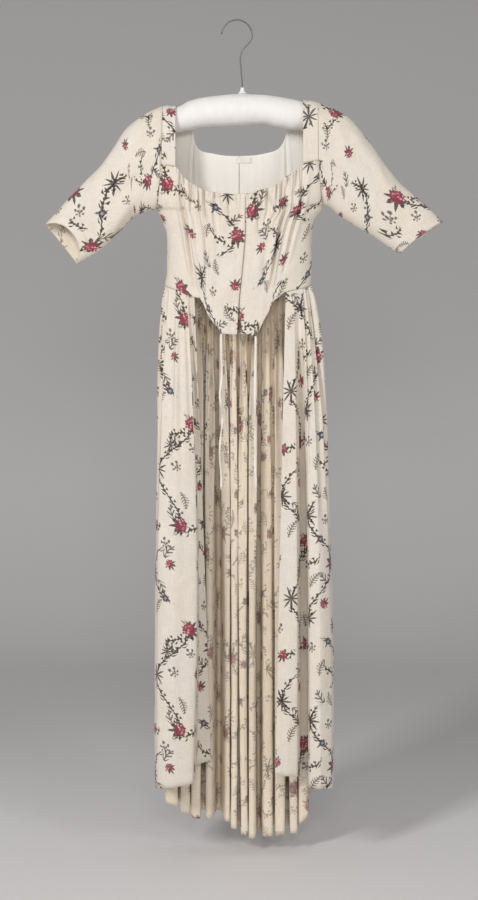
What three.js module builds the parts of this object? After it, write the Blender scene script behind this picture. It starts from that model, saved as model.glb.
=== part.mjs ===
// Open robe of block-printed cotton, about 1785 to 1795, hung on a padded hanger.
// Millimetres. +Z is up, the front faces -Y, and the wearer's left is +X.
// The origin is the inner top of the hanger's wire hook, where the whole part hangs.
// The cloth is built as thin walls: a function gives each point of the right side of the cloth,
// and the wrong side lies one wall's thickness further in.

import * as THREE from "three";

// Driving dimensions
const WALL = 1.1;               // cloth wall
const GAP = 0.5;                // air at a seam between two pieces
const ROUND = 2.4;              // exponent of the rounded sections
const ARMHOLE_HEIGHT = 206;     // from shoulder crest to underarm
const ARMHOLE_DEPTH = 90;       // front to back
const SHOULDER_LEVEL = -196;    // where the back's shoulder part meets the strap
const FULL_LEVEL = -286;        // from here down the front and back have their whole fullness
const CENTRE_BACK = 5;          // x of the seam down the back
const GATHERS = 9;              // on each front, one to a span of its table, from the centre edge
const GATHER_DEPTH = 1.9;       // ripples of the drawn-up neck edge
const GATHER_LENGTH = 95;       // how far down they fade out
const LINING = 1;               // lining wall
const LINING_OFFSET = 1.6;      // lining's outer face inside the back's right side
const LINING_SPANS = 7;         // of the back's table, from the centre seam to the armhole
const TIE_WIDTH = 4.5;
const TIE_THICKNESS = 1.2;
const TIE_PLANE = -49.4;        // y of the ties, under the middle of the fronts' wall
const WIRE_RADIUS = 1.4;
const HOOK_RADIUS = 30.5;       // bend of the hook, to the wire's centre
const HOOK_BEND = { tip: 176, foot: -8, step: 23 };   // in degrees round the bend
const WAIST_LEVEL = -529;       // of the waist seam at the sides

// How finely the pieces are divided
const FRONT_ROWS = 11;
const GATHER_COLUMNS = 3;
const BACK_ROWS = 8;
const STRAP = { steps: 16, parts: 4 };
const SLEEVE = { rings: 11, around: 24 };
const WAIST_STEPS = 180;
const PLEAT_COLUMNS = { front: 3, back: 4 };
const PAD_AROUND = 16;
const COLLAR_AROUND = 16;
const CORD_SIDES = 8;
const HOOK_STEPS = 40;
const TIE_STEPS = 26;

// Each side's shoulder: the strap's inner edge, its crest there and at the outer edge, and the
// middle of the armhole
const SHOULDER = {
  right: { side: -1, inner: -122, innerCrest: -168.2, outerCrest: -168.5, centre: -271.5 },
  left: { side: 1, inner: 132, innerCrest: -156, outerCrest: -161.2, centre: -264.2 },
};

// The body's outline at each height: side edges, and how far front and back stand from the side line
const BODY = [
  { z: -160, right: -148.5, left: 162, front: 46, back: 43 },
  { z: -196, right: -148.5, left: 162, front: 46, back: 43 },
  { z: -290, right: -151, left: 163.5, front: 53, back: 44 },
  { z: -340, right: -156, left: 168.5, front: 55, back: 44 },
  { z: -372, right: -159.5, left: 171.5, front: 55, back: 44 },
  { z: -400, right: -150, left: 156, front: 54, back: 44 },
  { z: -425, right: -142, left: 152, front: 53, back: 43 },
  { z: -462, right: -141, left: 151.5, front: 52, back: 43 },
  { z: -497, right: -141.5, left: 151.5, front: 51, back: 43 },
  { z: -529, right: -145.6, left: 151.3, front: 50, back: 43 },
  { z: -640, right: -145.6, left: 151.3, front: 50, back: 43 },
];

// Centre-front edges of the two fronts. They meet down to the waist, then a slit opens
const CENTRE_FRONT = [
  { z: -343, right: 16.6, left: 17.2 },
  { z: -428, right: 16.2, left: 16.8 },
  { z: -462, right: 13.6, left: 14.4 },
  { z: -515, right: 8.4, left: 9.4 },
  { z: -566, right: 3.4, left: 5.6 },
  { z: -600, right: 1.6, left: 6.9 },
  { z: -630, right: 0.4, left: 7.8 },
];

// Columns of each front, from the centre edge to the side seam: where the threads start at the
// neck or strap, and where they end at the pointed lower edge
const FRONT_RIGHT = [
  { topX: 16.6, topZ: -343, lowX: 0.4, lowZ: -624 },
  { topX: -4, topZ: -343.5, lowX: -10, lowZ: -624 },
  { topX: -22, topZ: -342.5, lowX: -20, lowZ: -623.5 },
  { topX: -40, topZ: -341, lowX: -31, lowZ: -622.5 },
  { topX: -55, topZ: -338.5, lowX: -45, lowZ: -604 },
  { topX: -70, topZ: -334, lowX: -59.5, lowZ: -583 },
  { topX: -84, topZ: -325, lowX: -68, lowZ: -561 },
  { topX: -97, topZ: -317, lowX: -75, lowZ: -551 },
  { topX: -110, topZ: -305, lowX: -95, lowZ: -548.5 },
  { topX: -121, topZ: -290, lowX: -115, lowZ: -538 },
  { topX: -134, topZ: -288, lowX: -130, lowZ: -533 },
  { topX: -144, topZ: -286.8, lowX: -140, lowZ: -530.5 },
  { topX: -149, topZ: -286.2, lowX: -144.3, lowZ: -529.2 },
  { topX: -150.8, topZ: -286, lowX: -145.6, lowZ: -529 },
];
const FRONT_LEFT = [
  { topX: 17.2, topZ: -343, lowX: 7.8, lowZ: -623 },
  { topX: 30, topZ: -341.5, lowX: 18, lowZ: -624.5 },
  { topX: 43, topZ: -337, lowX: 28, lowZ: -626 },
  { topX: 56, topZ: -333, lowX: 36.5, lowZ: -627.5 },
  { topX: 70, topZ: -328.5, lowX: 45.5, lowZ: -615 },
  { topX: 84, topZ: -321, lowX: 54, lowZ: -597 },
  { topX: 98, topZ: -310, lowX: 65, lowZ: -577 },
  { topX: 111, topZ: -301.5, lowX: 76, lowZ: -556 },
  { topX: 123, topZ: -293.5, lowX: 95, lowZ: -540.5 },
  { topX: 132, topZ: -283, lowX: 115, lowZ: -536 },
  { topX: 145, topZ: -280.5, lowX: 133, lowZ: -532 },
  { topX: 156, topZ: -279, lowX: 144, lowZ: -529.5 },
  { topX: 161.5, topZ: -278.3, lowX: 149.8, lowZ: -528.2 },
  { topX: 163.4, topZ: -278, lowX: 151.3, lowZ: -528 },
];

// Columns of each half of the back, from the centre seam to the side seam
const BACK_RIGHT = [
  { topX: 5, topZ: -268, lowX: 5, lowZ: -576 },
  { topX: -22, topZ: -267, lowX: -22, lowZ: -573 },
  { topX: -50, topZ: -262.5, lowX: -50, lowZ: -565 },
  { topX: -72, topZ: -257.5, lowX: -76, lowZ: -555 },
  { topX: -83, topZ: -245, lowX: -98, lowZ: -546.5 },
  { topX: -91, topZ: -217, lowX: -115, lowZ: -540 },
  { topX: -110, topZ: -196, lowX: -130, lowZ: -534.5 },
  { topX: -132, topZ: -196, lowX: -140, lowZ: -531 },
  { topX: -144, topZ: -196, lowX: -144.3, lowZ: -529.4 },
  { topX: -148.5, topZ: -196, lowX: -145.6, lowZ: -529 },
];
const BACK_LEFT = [
  { topX: 5, topZ: -268, lowX: 5, lowZ: -576 },
  { topX: 34, topZ: -266.5, lowX: 32, lowZ: -573 },
  { topX: 60, topZ: -262, lowX: 58, lowZ: -565 },
  { topX: 80, topZ: -256, lowX: 82, lowZ: -555 },
  { topX: 93, topZ: -243, lowX: 103, lowZ: -546.5 },
  { topX: 103, topZ: -217, lowX: 120, lowZ: -540 },
  { topX: 122, topZ: -196, lowX: 135, lowZ: -534 },
  { topX: 144, topZ: -196, lowX: 145, lowZ: -530 },
  { topX: 157, topZ: -196, lowX: 149.8, lowZ: -528.4 },
  { topX: 162, topZ: -196, lowX: 151.3, lowZ: -528 },
];

// Sleeve rings from the armhole to the hem: the ring's top and bottom point and its depth
const SLEEVE_RIGHT = [
  { topX: -149.4, topZ: -168.5, lowX: -160.3, lowZ: -374.5, depth: 90 },
  { topX: -174.6, topZ: -179, lowX: -173.6, lowZ: -378, depth: 86 },
  { topX: -198.6, topZ: -194, lowX: -189.6, lowZ: -382, depth: 82 },
  { topX: -222.6, topZ: -214, lowX: -204.6, lowZ: -388, depth: 78 },
  { topX: -243, topZ: -244, lowX: -221.6, lowZ: -405, depth: 74 },
  { topX: -269.6, topZ: -282, lowX: -240.6, lowZ: -424, depth: 69 },
  { topX: -306.6, topZ: -320, lowX: -264.6, lowZ: -447, depth: 63 },
  { topX: -344.6, topZ: -359, lowX: -292.6, lowZ: -468, depth: 57 },
  { topX: -387.6, topZ: -406, lowX: -323.6, lowZ: -486, depth: 52 },
];
const SLEEVE_LEFT = [
  { topX: 162.9, topZ: -161.2, lowX: 172.3, lowZ: -367.2, depth: 90 },
  { topX: 189.4, topZ: -172, lowX: 185.4, lowZ: -370, depth: 86 },
  { topX: 216.4, topZ: -185, lowX: 202.4, lowZ: -384, depth: 82 },
  { topX: 239.4, topZ: -205, lowX: 220.4, lowZ: -397, depth: 78 },
  { topX: 259.4, topZ: -230, lowX: 240.4, lowZ: -410, depth: 74 },
  { topX: 288.4, topZ: -270, lowX: 265.4, lowZ: -424, depth: 69 },
  { topX: 324.4, topZ: -316, lowX: 289.4, lowZ: -439, depth: 63 },
  { topX: 369.4, topZ: -356, lowX: 309.4, lowZ: -453, depth: 57 },
  { topX: 416.4, topZ: -400, lowX: 330.4, lowZ: -464, depth: 52 },
];

// Folds of the skirt's two fronts at the hem, from the free edge round to the side.
// seam: distance from the centre front along the waist. early: 1 where the fold opens straight
// below the waist, 0 where it opens evenly to the hem. bow: how far its middle stands to +X.
// pleat: share of a whole waist pleat
const SKIRT_FRONT_RIGHT = [
  { seam: 88, x: -53.6, y: 5, z: -1514, early: 0.1, bow: 0, pleat: 0 },
  { seam: 96, x: -81.6, y: -12, z: -1522, early: 0.2, bow: 8, pleat: 0 },
  { seam: 104, x: -90.6, y: -80, z: -1541, early: 0.6, bow: 12, pleat: 0 },
  { seam: 124, x: -126, y: -91, z: -1547, early: 1, bow: 0, pleat: 0 },
  { seam: 143, x: -163, y: -76, z: -1553, early: 1, bow: 0, pleat: 0.4 },
  { seam: 153, x: -169, y: -42, z: -1558, early: 1, bow: 0, pleat: 0.6 },
  { seam: 162, x: -149, y: -17, z: -1563, early: 1, bow: 0, pleat: 0.8 },
  { seam: 171, x: -162, y: 12, z: -1571, early: 1, bow: 0, pleat: 1 },
  { seam: 181, x: -145, y: 31, z: -1580, early: 1, bow: 0, pleat: 1 },
];
const SKIRT_FRONT_LEFT = [
  { seam: 96, x: 78.4, y: -80, z: -1524, early: 0.1, bow: 0, pleat: 0 },
  { seam: 105, x: 102, y: -89, z: -1524, early: 0.4, bow: 0, pleat: 0 },
  { seam: 113, x: 123.4, y: -80, z: -1528, early: 0.8, bow: 0, pleat: 0 },
  { seam: 122, x: 136, y: -38, z: -1542, early: 0.8, bow: 0, pleat: 0 },
  { seam: 131, x: 149.4, y: -80, z: -1550, early: 1, bow: 0, pleat: 0.4 },
  { seam: 138, x: 170, y: -88, z: -1551, early: 1, bow: 0, pleat: 0.6 },
  { seam: 146, x: 194, y: -70, z: -1555, early: 1, bow: 0, pleat: 0.6 },
  { seam: 154, x: 198, y: -36, z: -1563, early: 1, bow: 0, pleat: 0.8 },
  { seam: 163, x: 172, y: -10, z: -1568, early: 1, bow: 0, pleat: 0.8 },
  { seam: 172, x: 184, y: 18, z: -1574, early: 1, bow: 0, pleat: 1 },
  { seam: 181, x: 161, y: 36, z: -1585, early: 1, bow: 0, pleat: 1 },
];

// Folds across the back at the hem, from the wearer's right to left: each runs from an outer bend
// (away from the front) to an inner bend
const SKIRT_BACK = [
  { outerX: -155, outerY: 71, innerX: -131, innerY: 28 },
  { outerX: -121, outerY: 80, innerX: -110, innerY: 26 },
  { outerX: -97, outerY: 84, innerX: -84, innerY: 22 },
  { outerX: -71, outerY: 86, innerX: -57, innerY: 18 },
  { outerX: -39, outerY: 92, innerX: -22, innerY: 26 },
  { outerX: -14, outerY: 80, innerX: -5, innerY: 17 },
  { outerX: 4, outerY: 82, innerX: 13, innerY: 22 },
  { outerX: 24, outerY: 86, innerX: 35, innerY: 18 },
  { outerX: 46, outerY: 88, innerX: 60, innerY: 27 },
  { outerX: 78, outerY: 92, innerX: 94, innerY: 20 },
  { outerX: 106, outerY: 84, innerX: 117, innerY: 24 },
  { outerX: 128, outerY: 80, innerX: 139, innerY: 30 },
];
const SKIRT_BACK_END = { outerX: 162, outerY: 73 };

// Height of the back hem across the train
const HEM_BACK = [
  { x: -160, z: -1586 },
  { x: -131, z: -1618 },
  { x: -106, z: -1638 },
  { x: -78, z: -1647 },
  { x: -48, z: -1643 },
  { x: -22, z: -1652 },
  { x: 12, z: -1680 },
  { x: 38, z: -1688 },
  { x: 94, z: -1681 },
  { x: 130, z: -1676 },
  { x: 160, z: -1600 },
];
// Depth of the waist pleats from the seam down to the hem
const PLEAT_DEPTH = [
  { t: 0, depth: 0.4 },
  { t: 0.03, depth: 3.4 },
  { t: 0.1, depth: 4.8 },
  { t: 0.2, depth: 4.2 },
  { t: 0.4, depth: 1.1 },
  { t: 0.6, depth: 0 },
  { t: 1, depth: 0 },
];
const SKIRT_ROWS = [0, 0.018, 0.05, 0.1, 0.17, 0.28, 0.42, 0.6, 0.8, 1];
const FOLD_ROUNDNESS = 0.42;    // how broadly a fold turns at its bends
const FOLD_LIMIT = 1.1;         // most breadth of a bend, against the distance between its neighbours
const FOLD_OPENING = 2.6;       // how soon the folds open below the waist
const FOLD_SIDE = 0.1;          // share of a fold to each side of a point that gives its direction

// The padded bar: height of its top and underside along its length
const PAD = [
  { x: -199, crest: -204, foot: -234 },
  { x: -175, crest: -185, foot: -230 },
  { x: -148, crest: -171.2, foot: -225 },
  { x: -122, crest: -170.8, foot: -223 },
  { x: -94, crest: -158, foot: -217 },
  { x: -58, crest: -150.5, foot: -210.5 },
  { x: 6, crest: -145, foot: -207.5 },
  { x: 50, crest: -146.5, foot: -205 },
  { x: 86, crest: -151, foot: -211.5 },
  { x: 110, crest: -155, foot: -216.5 },
  { x: 132, crest: -160, foot: -217 },
  { x: 162, crest: -164, foot: -218.5 },
  { x: 190, crest: -177, foot: -221 },
  { x: 212, crest: -192, foot: -222 },
];
const PAD_END = { length: 7, radius: 0.6 };   // the bar's two ends, the radius as a share

// The stem and the gathered collar round it, by radius and height above the collar's foot
const STEM = { x: 11, top: Math.max(...PAD.map((row) => row.crest)) - 0.2 };
const COLLAR_GAP = 0.9;         // foot of the collar above the stem's foot
const COLLAR = [
  { radius: WIRE_RADIUS + 0.4, height: 0 },
  { radius: 7.5, height: -0.2 },
  { radius: 7.8, height: 1.2 },
  { radius: 4.2, height: 6.5 },
  { radius: 2.9, height: 12 },
  { radius: WIRE_RADIUS + 0.4, height: 12 },
  { radius: WIRE_RADIUS + 0.4, height: 0 },
];

// The wire below the hook's bend, down into the padded bar
const SHANK = [
  { x: 26.5, z: -41 },
  { x: 18.5, z: -50 },
  { x: 11.5, z: -58.5 },
  { x: 8, z: -68 },
  { x: 8.6, z: -96 },
  { x: STEM.x, z: -126 },
  { x: STEM.x, z: STEM.top + 0.6 },
];

// The blank tape behind the neck edge
const LABEL = { left: -1.5, middle: 15, right: 30.5, top: -270.5, low: -282.5, thickness: 0.5 };

// Ties, from the corners of the fronts' points down to their free ends, as x and z
const TIE_RIGHT = [
  [-31.5, -623], [-31.6, -640], [-31, -665], [-30.4, -690], [-30.8, -714], [-33.2, -732], [-34.4, -744],
  [-32.4, -762], [-28.8, -786], [-30, -806], [-32.8, -830], [-34.2, -852], [-34.6, -874], [-32.6, -898],
  [-31.4, -918], [-31.8, -935],
];
const TIE_LEFT = [
  [37.8, -627.8], [37.9, -644], [37.4, -668], [36.8, -694], [36.4, -722], [36.6, -752], [37, -782],
  [37.2, -808], [36.8, -836], [36.2, -862], [36.4, -884], [37.6, -906], [39, -922], [38.6, -938],
];

const COLOURS = {
  print: { color: 0xe0d9c6, roughness: 0.9 },
  linen: { color: 0xe4dfd0, roughness: 0.92 },
  tape: { color: 0xe9e6dc, roughness: 0.88 },
  padding: { color: 0xeceae4, roughness: 0.85 },
  steel: { color: 0x8b8d8e, roughness: 0.35, metalness: 1 },
};

// Arithmetic
const mix = (a, b, t) => a + (b - a) * t;
const clamp = (t) => Math.min(1, Math.max(0, t));
const ease = (t) => clamp(t) ** 2 * (3 - 2 * clamp(t));
const power = (value, exponent) => Math.sign(value) * Math.abs(value) ** exponent;

// Value of one column of a table at a place between two rows, whichever way its key runs
function read(table, key, place, column) {
  const falling = table[1][key] < table[0][key];
  let row = 0;
  while (row < table.length - 2 && (falling ? place < table[row + 1][key] : place > table[row + 1][key])) {
    row += 1;
  }
  const [low, high] = [table[row], table[row + 1]];
  return mix(low[column], high[column], clamp((place - low[key]) / (high[key] - low[key])));
}

// Blend of every column of two rows
function between(table, place) {
  const row = Math.min(Math.floor(place), table.length - 2);
  const blend = {};
  for (const column of Object.keys(table[row])) {
    blend[column] = mix(table[row][column], table[row + 1][column], place - row);
  }
  return blend;
}

// Walls
// Heading at a point of a line, halfway between the directions of the steps that meet there
function direction(before, here, after) {
  const heading = new THREE.Vector3();
  for (const [start, end] of [[before, here], [here, after]]) {
    if (start !== end) {
      heading.add(end.clone().sub(start).normalize());
    }
  }
  return heading;
}

function surfaceNormal(grid, row, col, closed) {
  const width = grid[0].length;
  const before = closed ? (col + width - 1) % width : Math.max(col - 1, 0);
  const after = closed ? (col + 1) % width : Math.min(col + 1, width - 1);
  const here = grid[row][col];
  const across = direction(grid[row][before], here, grid[row][after]);
  const above = grid[Math.max(row - 1, 0)][col];
  const below = grid[Math.min(row + 1, grid.length - 1)][col];
  const down = direction(above, here, below);
  return across.cross(down).normalize();
}

// The same grid moved along its normals
function offsetGrid(grid, distance, closed = false) {
  return grid.map((line, row) => line.map((point, col) => (
    point.clone().addScaledVector(surfaceNormal(grid, row, col, closed), distance))));
}

function closedSolid(points, faces) {
  const geometry = new THREE.BufferGeometry();
  const volume = faces.reduce((sum, [a, b, c]) => sum + points[a].dot(points[b].clone().cross(points[c])), 0);
  const order = volume < 0 ? faces.map(([a, b, c]) => [a, c, b]) : faces;
  const values = points.flatMap((point) => [point.x, point.y, point.z]);
  geometry.setAttribute("position", new THREE.Float32BufferAttribute(values, 3));
  geometry.setIndex(order.flat());
  geometry.computeVertexNormals();
  return geometry;
}

// A wall between two grids of the same size, closed at its rims; closed grids also join end to end
function wall(outer, inner, closed = false) {
  const rows = outer.length;
  const cols = outer[0].length;
  const points = [...outer.flat(), ...inner.flat()];
  const at = (row, col, side) => side * rows * cols + row * cols + (col % cols);
  const faces = [];
  const quad = (a, b, c, d) => faces.push([a, b, c], [a, c, d]);
  const lastCol = closed ? cols : cols - 1;
  for (let row = 0; row < rows - 1; row += 1) {
    for (let col = 0; col < lastCol; col += 1) {
      quad(at(row, col, 0), at(row, col + 1, 0), at(row + 1, col + 1, 0), at(row + 1, col, 0));
      quad(at(row, col, 1), at(row + 1, col, 1), at(row + 1, col + 1, 1), at(row, col + 1, 1));
    }
  }
  for (let col = 0; col < lastCol; col += 1) {
    quad(at(0, col, 0), at(0, col, 1), at(0, col + 1, 1), at(0, col + 1, 0));
    quad(at(rows - 1, col, 0), at(rows - 1, col + 1, 0), at(rows - 1, col + 1, 1), at(rows - 1, col, 1));
  }
  if (!closed) {
    for (let row = 0; row < rows - 1; row += 1) {
      quad(at(row, 0, 0), at(row + 1, 0, 0), at(row + 1, 0, 1), at(row, 0, 1));
      quad(at(row, cols - 1, 0), at(row, cols - 1, 1), at(row + 1, cols - 1, 1), at(row + 1, cols - 1, 0));
    }
  }
  return closedSolid(points, faces);
}

// The body's form
function armholeHalfDepth(z, shoulder) {
  const rise = Math.abs(z - shoulder.centre) / (ARMHOLE_HEIGHT / 2);
  return rise >= 1 ? 0 : (ARMHOLE_DEPTH / 2) * (1 - rise ** ROUND) ** (1 / ROUND);
}

function bodyPoint(x, z, face) {
  const [right, left] = ["right", "left"].map((column) => read(BODY, "z", z, column));
  const centre = (right + left) / 2;
  const shoulder = x < centre ? SHOULDER.right : SHOULDER.left;
  const reach = Math.min(1, Math.abs(x - centre) / ((left - right) / 2));
  const armhole = armholeHalfDepth(z, shoulder);
  const fullness = ease((SHOULDER_LEVEL - z) / (SHOULDER_LEVEL - FULL_LEVEL));
  const depth = mix(armhole, read(BODY, "z", z, face), fullness);
  const y = armhole + (depth - armhole) * (1 - reach ** ROUND) ** (1 / ROUND);
  return new THREE.Vector3(x, face === "front" ? -y : y, z);
}

// A panel of the body: columns from a table, rows from its top to its lower edge
function bodyGrid(table, face, rows, columnsPerSpan, extra = () => ({ x: 0, y: 0 })) {
  const side = Math.sign(table[table.length - 1].lowX);
  const outline = (z) => {
    const [right, left] = ["right", "left"].map((column) => read(BODY, "z", z, column));
    return { centre: (right + left) / 2, half: (left - right) / 2 };
  };
  const places = [];
  for (let span = 0; span < table.length - 1; span += 1) {
    const count = columnsPerSpan(span);
    for (let step = 0; step < count; step += 1) {
      places.push(span + step / count);
    }
  }
  places.push(table.length - 1);
  const grid = [];
  for (let row = 0; row <= rows; row += 1) {
    const t = row / rows;
    grid.push(places.map((place) => {
      const column = between(table, place);
      const z = mix(column.topZ, column.lowZ, t);
      const [top, low, here] = [outline(column.topZ), outline(column.lowZ), outline(z)];
      const reach = mix((column.topX - top.centre) / top.half, (column.lowX - low.centre) / low.half, t);
      const change = extra(place, t, z, here.centre + here.half * reach);
      let x = here.centre + here.half * reach + change.x;
      const edge = here.centre + side * here.half;
      if (side * x > side * edge) {
        x = edge;
      }
      const point = bodyPoint(x, z, face);
      point.y += change.y;
      return point;
    }));
  }
  return grid;
}

// Moves a grid's side edge a little back from the seam that it shares with the next piece
function trimSide(grid, distance) {
  for (const line of grid) {
    const last = line.length - 1;
    const away = line[last - 1].clone().sub(line[last]).normalize();
    line[last].addScaledVector(away, distance);
  }
  return grid;
}

function makeFront(table, column) {
  const edge = table[0];
  const bend = (place, t, z, x) => {
    const centreEdge = read(CENTRE_FRONT, "z", z, column);
    const hold = clamp(1 - place / GATHERS) ** 2;
    const ripple = Math.cos(2 * Math.PI * place) * (place <= GATHERS ? 1 : 0);
    const below = t * (edge.topZ - edge.lowZ);
    const fade = ease(1 - below / GATHER_LENGTH) * ease(place) * ease(GATHERS - place);
    const shift = (centreEdge - mix(edge.topX, edge.lowX, t)) * hold;
    return { x: place === 0 ? centreEdge - x : shift, y: -GATHER_DEPTH * ripple * fade };
  };
  const columns = (span) => (span < GATHERS ? GATHER_COLUMNS : 1);
  const outer = trimSide(bodyGrid(table, "front", FRONT_ROWS, columns, bend), GAP / 2);
  const turn = column === "right" ? -1 : 1;
  return wall(outer, offsetGrid(outer, turn * WALL));
}

function backGrid(table, column) {
  const outer = trimSide(bodyGrid(table, "back", BACK_ROWS, () => 1), GAP / 2);
  for (const line of outer) {
    line[0].x += (column === "right" ? -1 : 1) * GAP / 2;
  }
  return outer;
}

function makeBack(table, column) {
  const outer = backGrid(table, column);
  const turn = column === "right" ? 1 : -1;
  return wall(outer, offsetGrid(outer, turn * WALL));
}

// The lining is the back's own points moved in, from the neck edge to just above the waist seam
function makeLining(table, column) {
  const outer = backGrid(table, column);
  const turn = column === "right" ? 1 : -1;
  const layer = (distance) => (
    offsetGrid(outer, turn * distance).slice(0, -1).map((line) => line.slice(0, LINING_SPANS + 1)));
  return wall(layer(LINING_OFFSET), layer(LINING_OFFSET + LINING));
}

// A strap runs from the front's top edge over the padded bar to the back's shoulder part
function makeStrap(shoulder, frontTable, backTable) {
  const radius = ARMHOLE_HEIGHT / 2;
  const angleAt = (z) => Math.acos(power((z - shoulder.centre) / radius, ROUND / 2));
  const outerTop = frontTable[frontTable.length - 1].topZ;
  const start = angleAt(outerTop + GAP);
  const end = -angleAt(SHOULDER_LEVEL + GAP);
  const shoulderPart = backTable.find((row) => row.topZ === SHOULDER_LEVEL);
  const neckTurn = Math.PI / 3;
  const bodyTurn = { start: Math.PI / 4, length: Math.PI / 6 };
  const outer = [];
  for (let step = 0; step <= STRAP.steps; step += 1) {
    const angle = mix(start, end, step / STRAP.steps);
    const outerZ = shoulder.centre + radius * power(Math.cos(angle), 2 / ROUND);
    const face = angle > 0 ? "front" : "back";
    const line = [];
    for (let part = 0; part <= STRAP.parts; part += 1) {
      const t = part / STRAP.parts;
      const inner = angle < 0 ? mix(shoulder.inner, shoulderPart.topX, angle / end) : shoulder.inner;
      const edge = read(BODY, "z", outerZ, shoulder.side < 0 ? "right" : "left");
      const x = mix(inner, edge, t);
      const lift = (shoulder.innerCrest - shoulder.outerCrest) * clamp(Math.cos(angle)) ** 2 * (1 - t);
      const drop = read(frontTable, "topX", x, "topZ") - outerTop;
      const z = outerZ + lift + drop * ease((angle - neckTurn) / (start - neckTurn));
      const bulge = Math.abs(bodyPoint(x, z, face).y) - armholeHalfDepth(z, shoulder);
      const half = (ARMHOLE_DEPTH / 2) * Math.abs(power(Math.sin(angle), 2 / ROUND));
      const low = ease((Math.abs(angle) - bodyTurn.start) / bodyTurn.length);
      line.push(new THREE.Vector3(x, (angle > 0 ? -1 : 1) * (half + bulge * low), z));
    }
    outer.push(line);
  }
  return wall(outer, offsetGrid(outer, shoulder.side * -WALL));
}

function makeSleeve(table, side) {
  const outer = [];
  for (let ring = 0; ring <= SLEEVE.rings; ring += 1) {
    const row = between(table, (ring / SLEEVE.rings) * (table.length - 1));
    const top = new THREE.Vector3(row.topX, 0, row.topZ);
    const low = new THREE.Vector3(row.lowX, 0, row.lowZ);
    const centre = top.clone().add(low).multiplyScalar(0.5);
    const half = top.clone().sub(low).multiplyScalar(0.5);
    const line = [];
    for (let step = 0; step < SLEEVE.around; step += 1) {
      const angle = (step / SLEEVE.around) * 2 * Math.PI;
      const point = centre.clone().addScaledVector(half, power(Math.cos(angle), 2 / ROUND));
      point.y += (row.depth / 2) * power(Math.sin(angle), 2 / ROUND);
      if (ring === 0) {
        point.x = read(BODY, "z", point.z, side < 0 ? "right" : "left") + side * GAP;
      }
      line.push(point);
    }
    outer.push(line);
  }
  return wall(outer, offsetGrid(outer, side * WALL, true), true);
}

// The skirt
// A point on the waist seam, by its distance from the centre front
function waistSeam() {
  const samples = [];
  const waist = BODY.find((row) => row.z === WAIST_LEVEL);
  const middle = (waist.right + waist.left) / 2;
  const half = (waist.left - waist.right) / 2;
  for (let step = 0; step <= WAIST_STEPS; step += 1) {
    const angle = (step / WAIST_STEPS) * Math.PI;
    const x = half * power(Math.sin(angle), 2 / ROUND);
    const front = Math.cos(angle) > 0;
    const y = (front ? -waist.front : waist.back) * Math.abs(power(Math.cos(angle), 2 / ROUND));
    const last = samples[samples.length - 1];
    const length = last ? last.length + Math.hypot(x - last.x, y - last.y) : 0;
    samples.push({ length, x, y });
  }
  const whole = samples[WAIST_STEPS].length;
  const point = (distance, side) => ({
    x: middle + side * read(samples, "length", distance, "x"),
    y: read(samples, "length", distance, "y"),
  });
  return { whole, point };
}
const SEAM = waistSeam();

function seamHeight(x, y) {
  const tables = y < 0 ? [FRONT_RIGHT, FRONT_LEFT] : [BACK_RIGHT, BACK_LEFT];
  const table = x < CENTRE_BACK ? tables[0] : tables[1];
  return read(table, "lowX", x, "lowZ") - GAP;
}

// Every bend of the skirt, from the right front's free edge round the back to the left's
function skirtBends() {
  const bend = (row, side) => {
    const waist = SEAM.point(row.seam, side);
    return { ...row, waistX: waist.x, waistY: waist.y };
  };
  const right = SKIRT_FRONT_RIGHT.map((row) => bend(row, -1));
  const left = SKIRT_FRONT_LEFT.map((row) => bend(row, 1)).reverse();
  const across = SKIRT_BACK.flatMap((fold) => [
    { x: fold.outerX, y: fold.outerY },
    { x: fold.innerX, y: fold.innerY },
  ]);
  across.push({ x: SKIRT_BACK_END.outerX, y: SKIRT_BACK_END.outerY });
  const first = SKIRT_FRONT_RIGHT[SKIRT_FRONT_RIGHT.length - 1].seam;
  const last = 2 * SEAM.whole - SKIRT_FRONT_LEFT[SKIRT_FRONT_LEFT.length - 1].seam;
  const back = across.map((place, index) => {
    const seam = mix(first, last, (index + 1) / (across.length + 1));
    const side = seam < SEAM.whole ? -1 : 1;
    const distance = side < 0 ? seam : 2 * SEAM.whole - seam;
    const z = read(HEM_BACK, "x", place.x, "z");
    return bend({ seam: distance, x: place.x, y: place.y, z, early: 1, bow: 0, pleat: 1 }, side);
  });
  return [...right, ...back, ...left];
}
const BENDS = skirtBends();

// Smooth curve through the bends of one section
function foldCurve(points, place) {
  const index = Math.min(Math.floor(place), points.length - 2);
  const u = place - index;
  const [start, end] = [points[index], points[index + 1]];
  const heading = (at) => {
    const spread = points[Math.min(at + 1, points.length - 1)].clone().sub(points[Math.max(at - 1, 0)]);
    return spread.setLength(Math.min(start.distanceTo(end) * FOLD_ROUNDNESS, spread.length() * FOLD_LIMIT));
  };
  return start.clone().multiplyScalar(2 * u ** 3 - 3 * u ** 2 + 1)
    .addScaledVector(end, 3 * u ** 2 - 2 * u ** 3)
    .addScaledVector(heading(index), u ** 3 - 2 * u ** 2 + u)
    .addScaledVector(heading(index + 1), u ** 3 - u ** 2);
}

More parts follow.
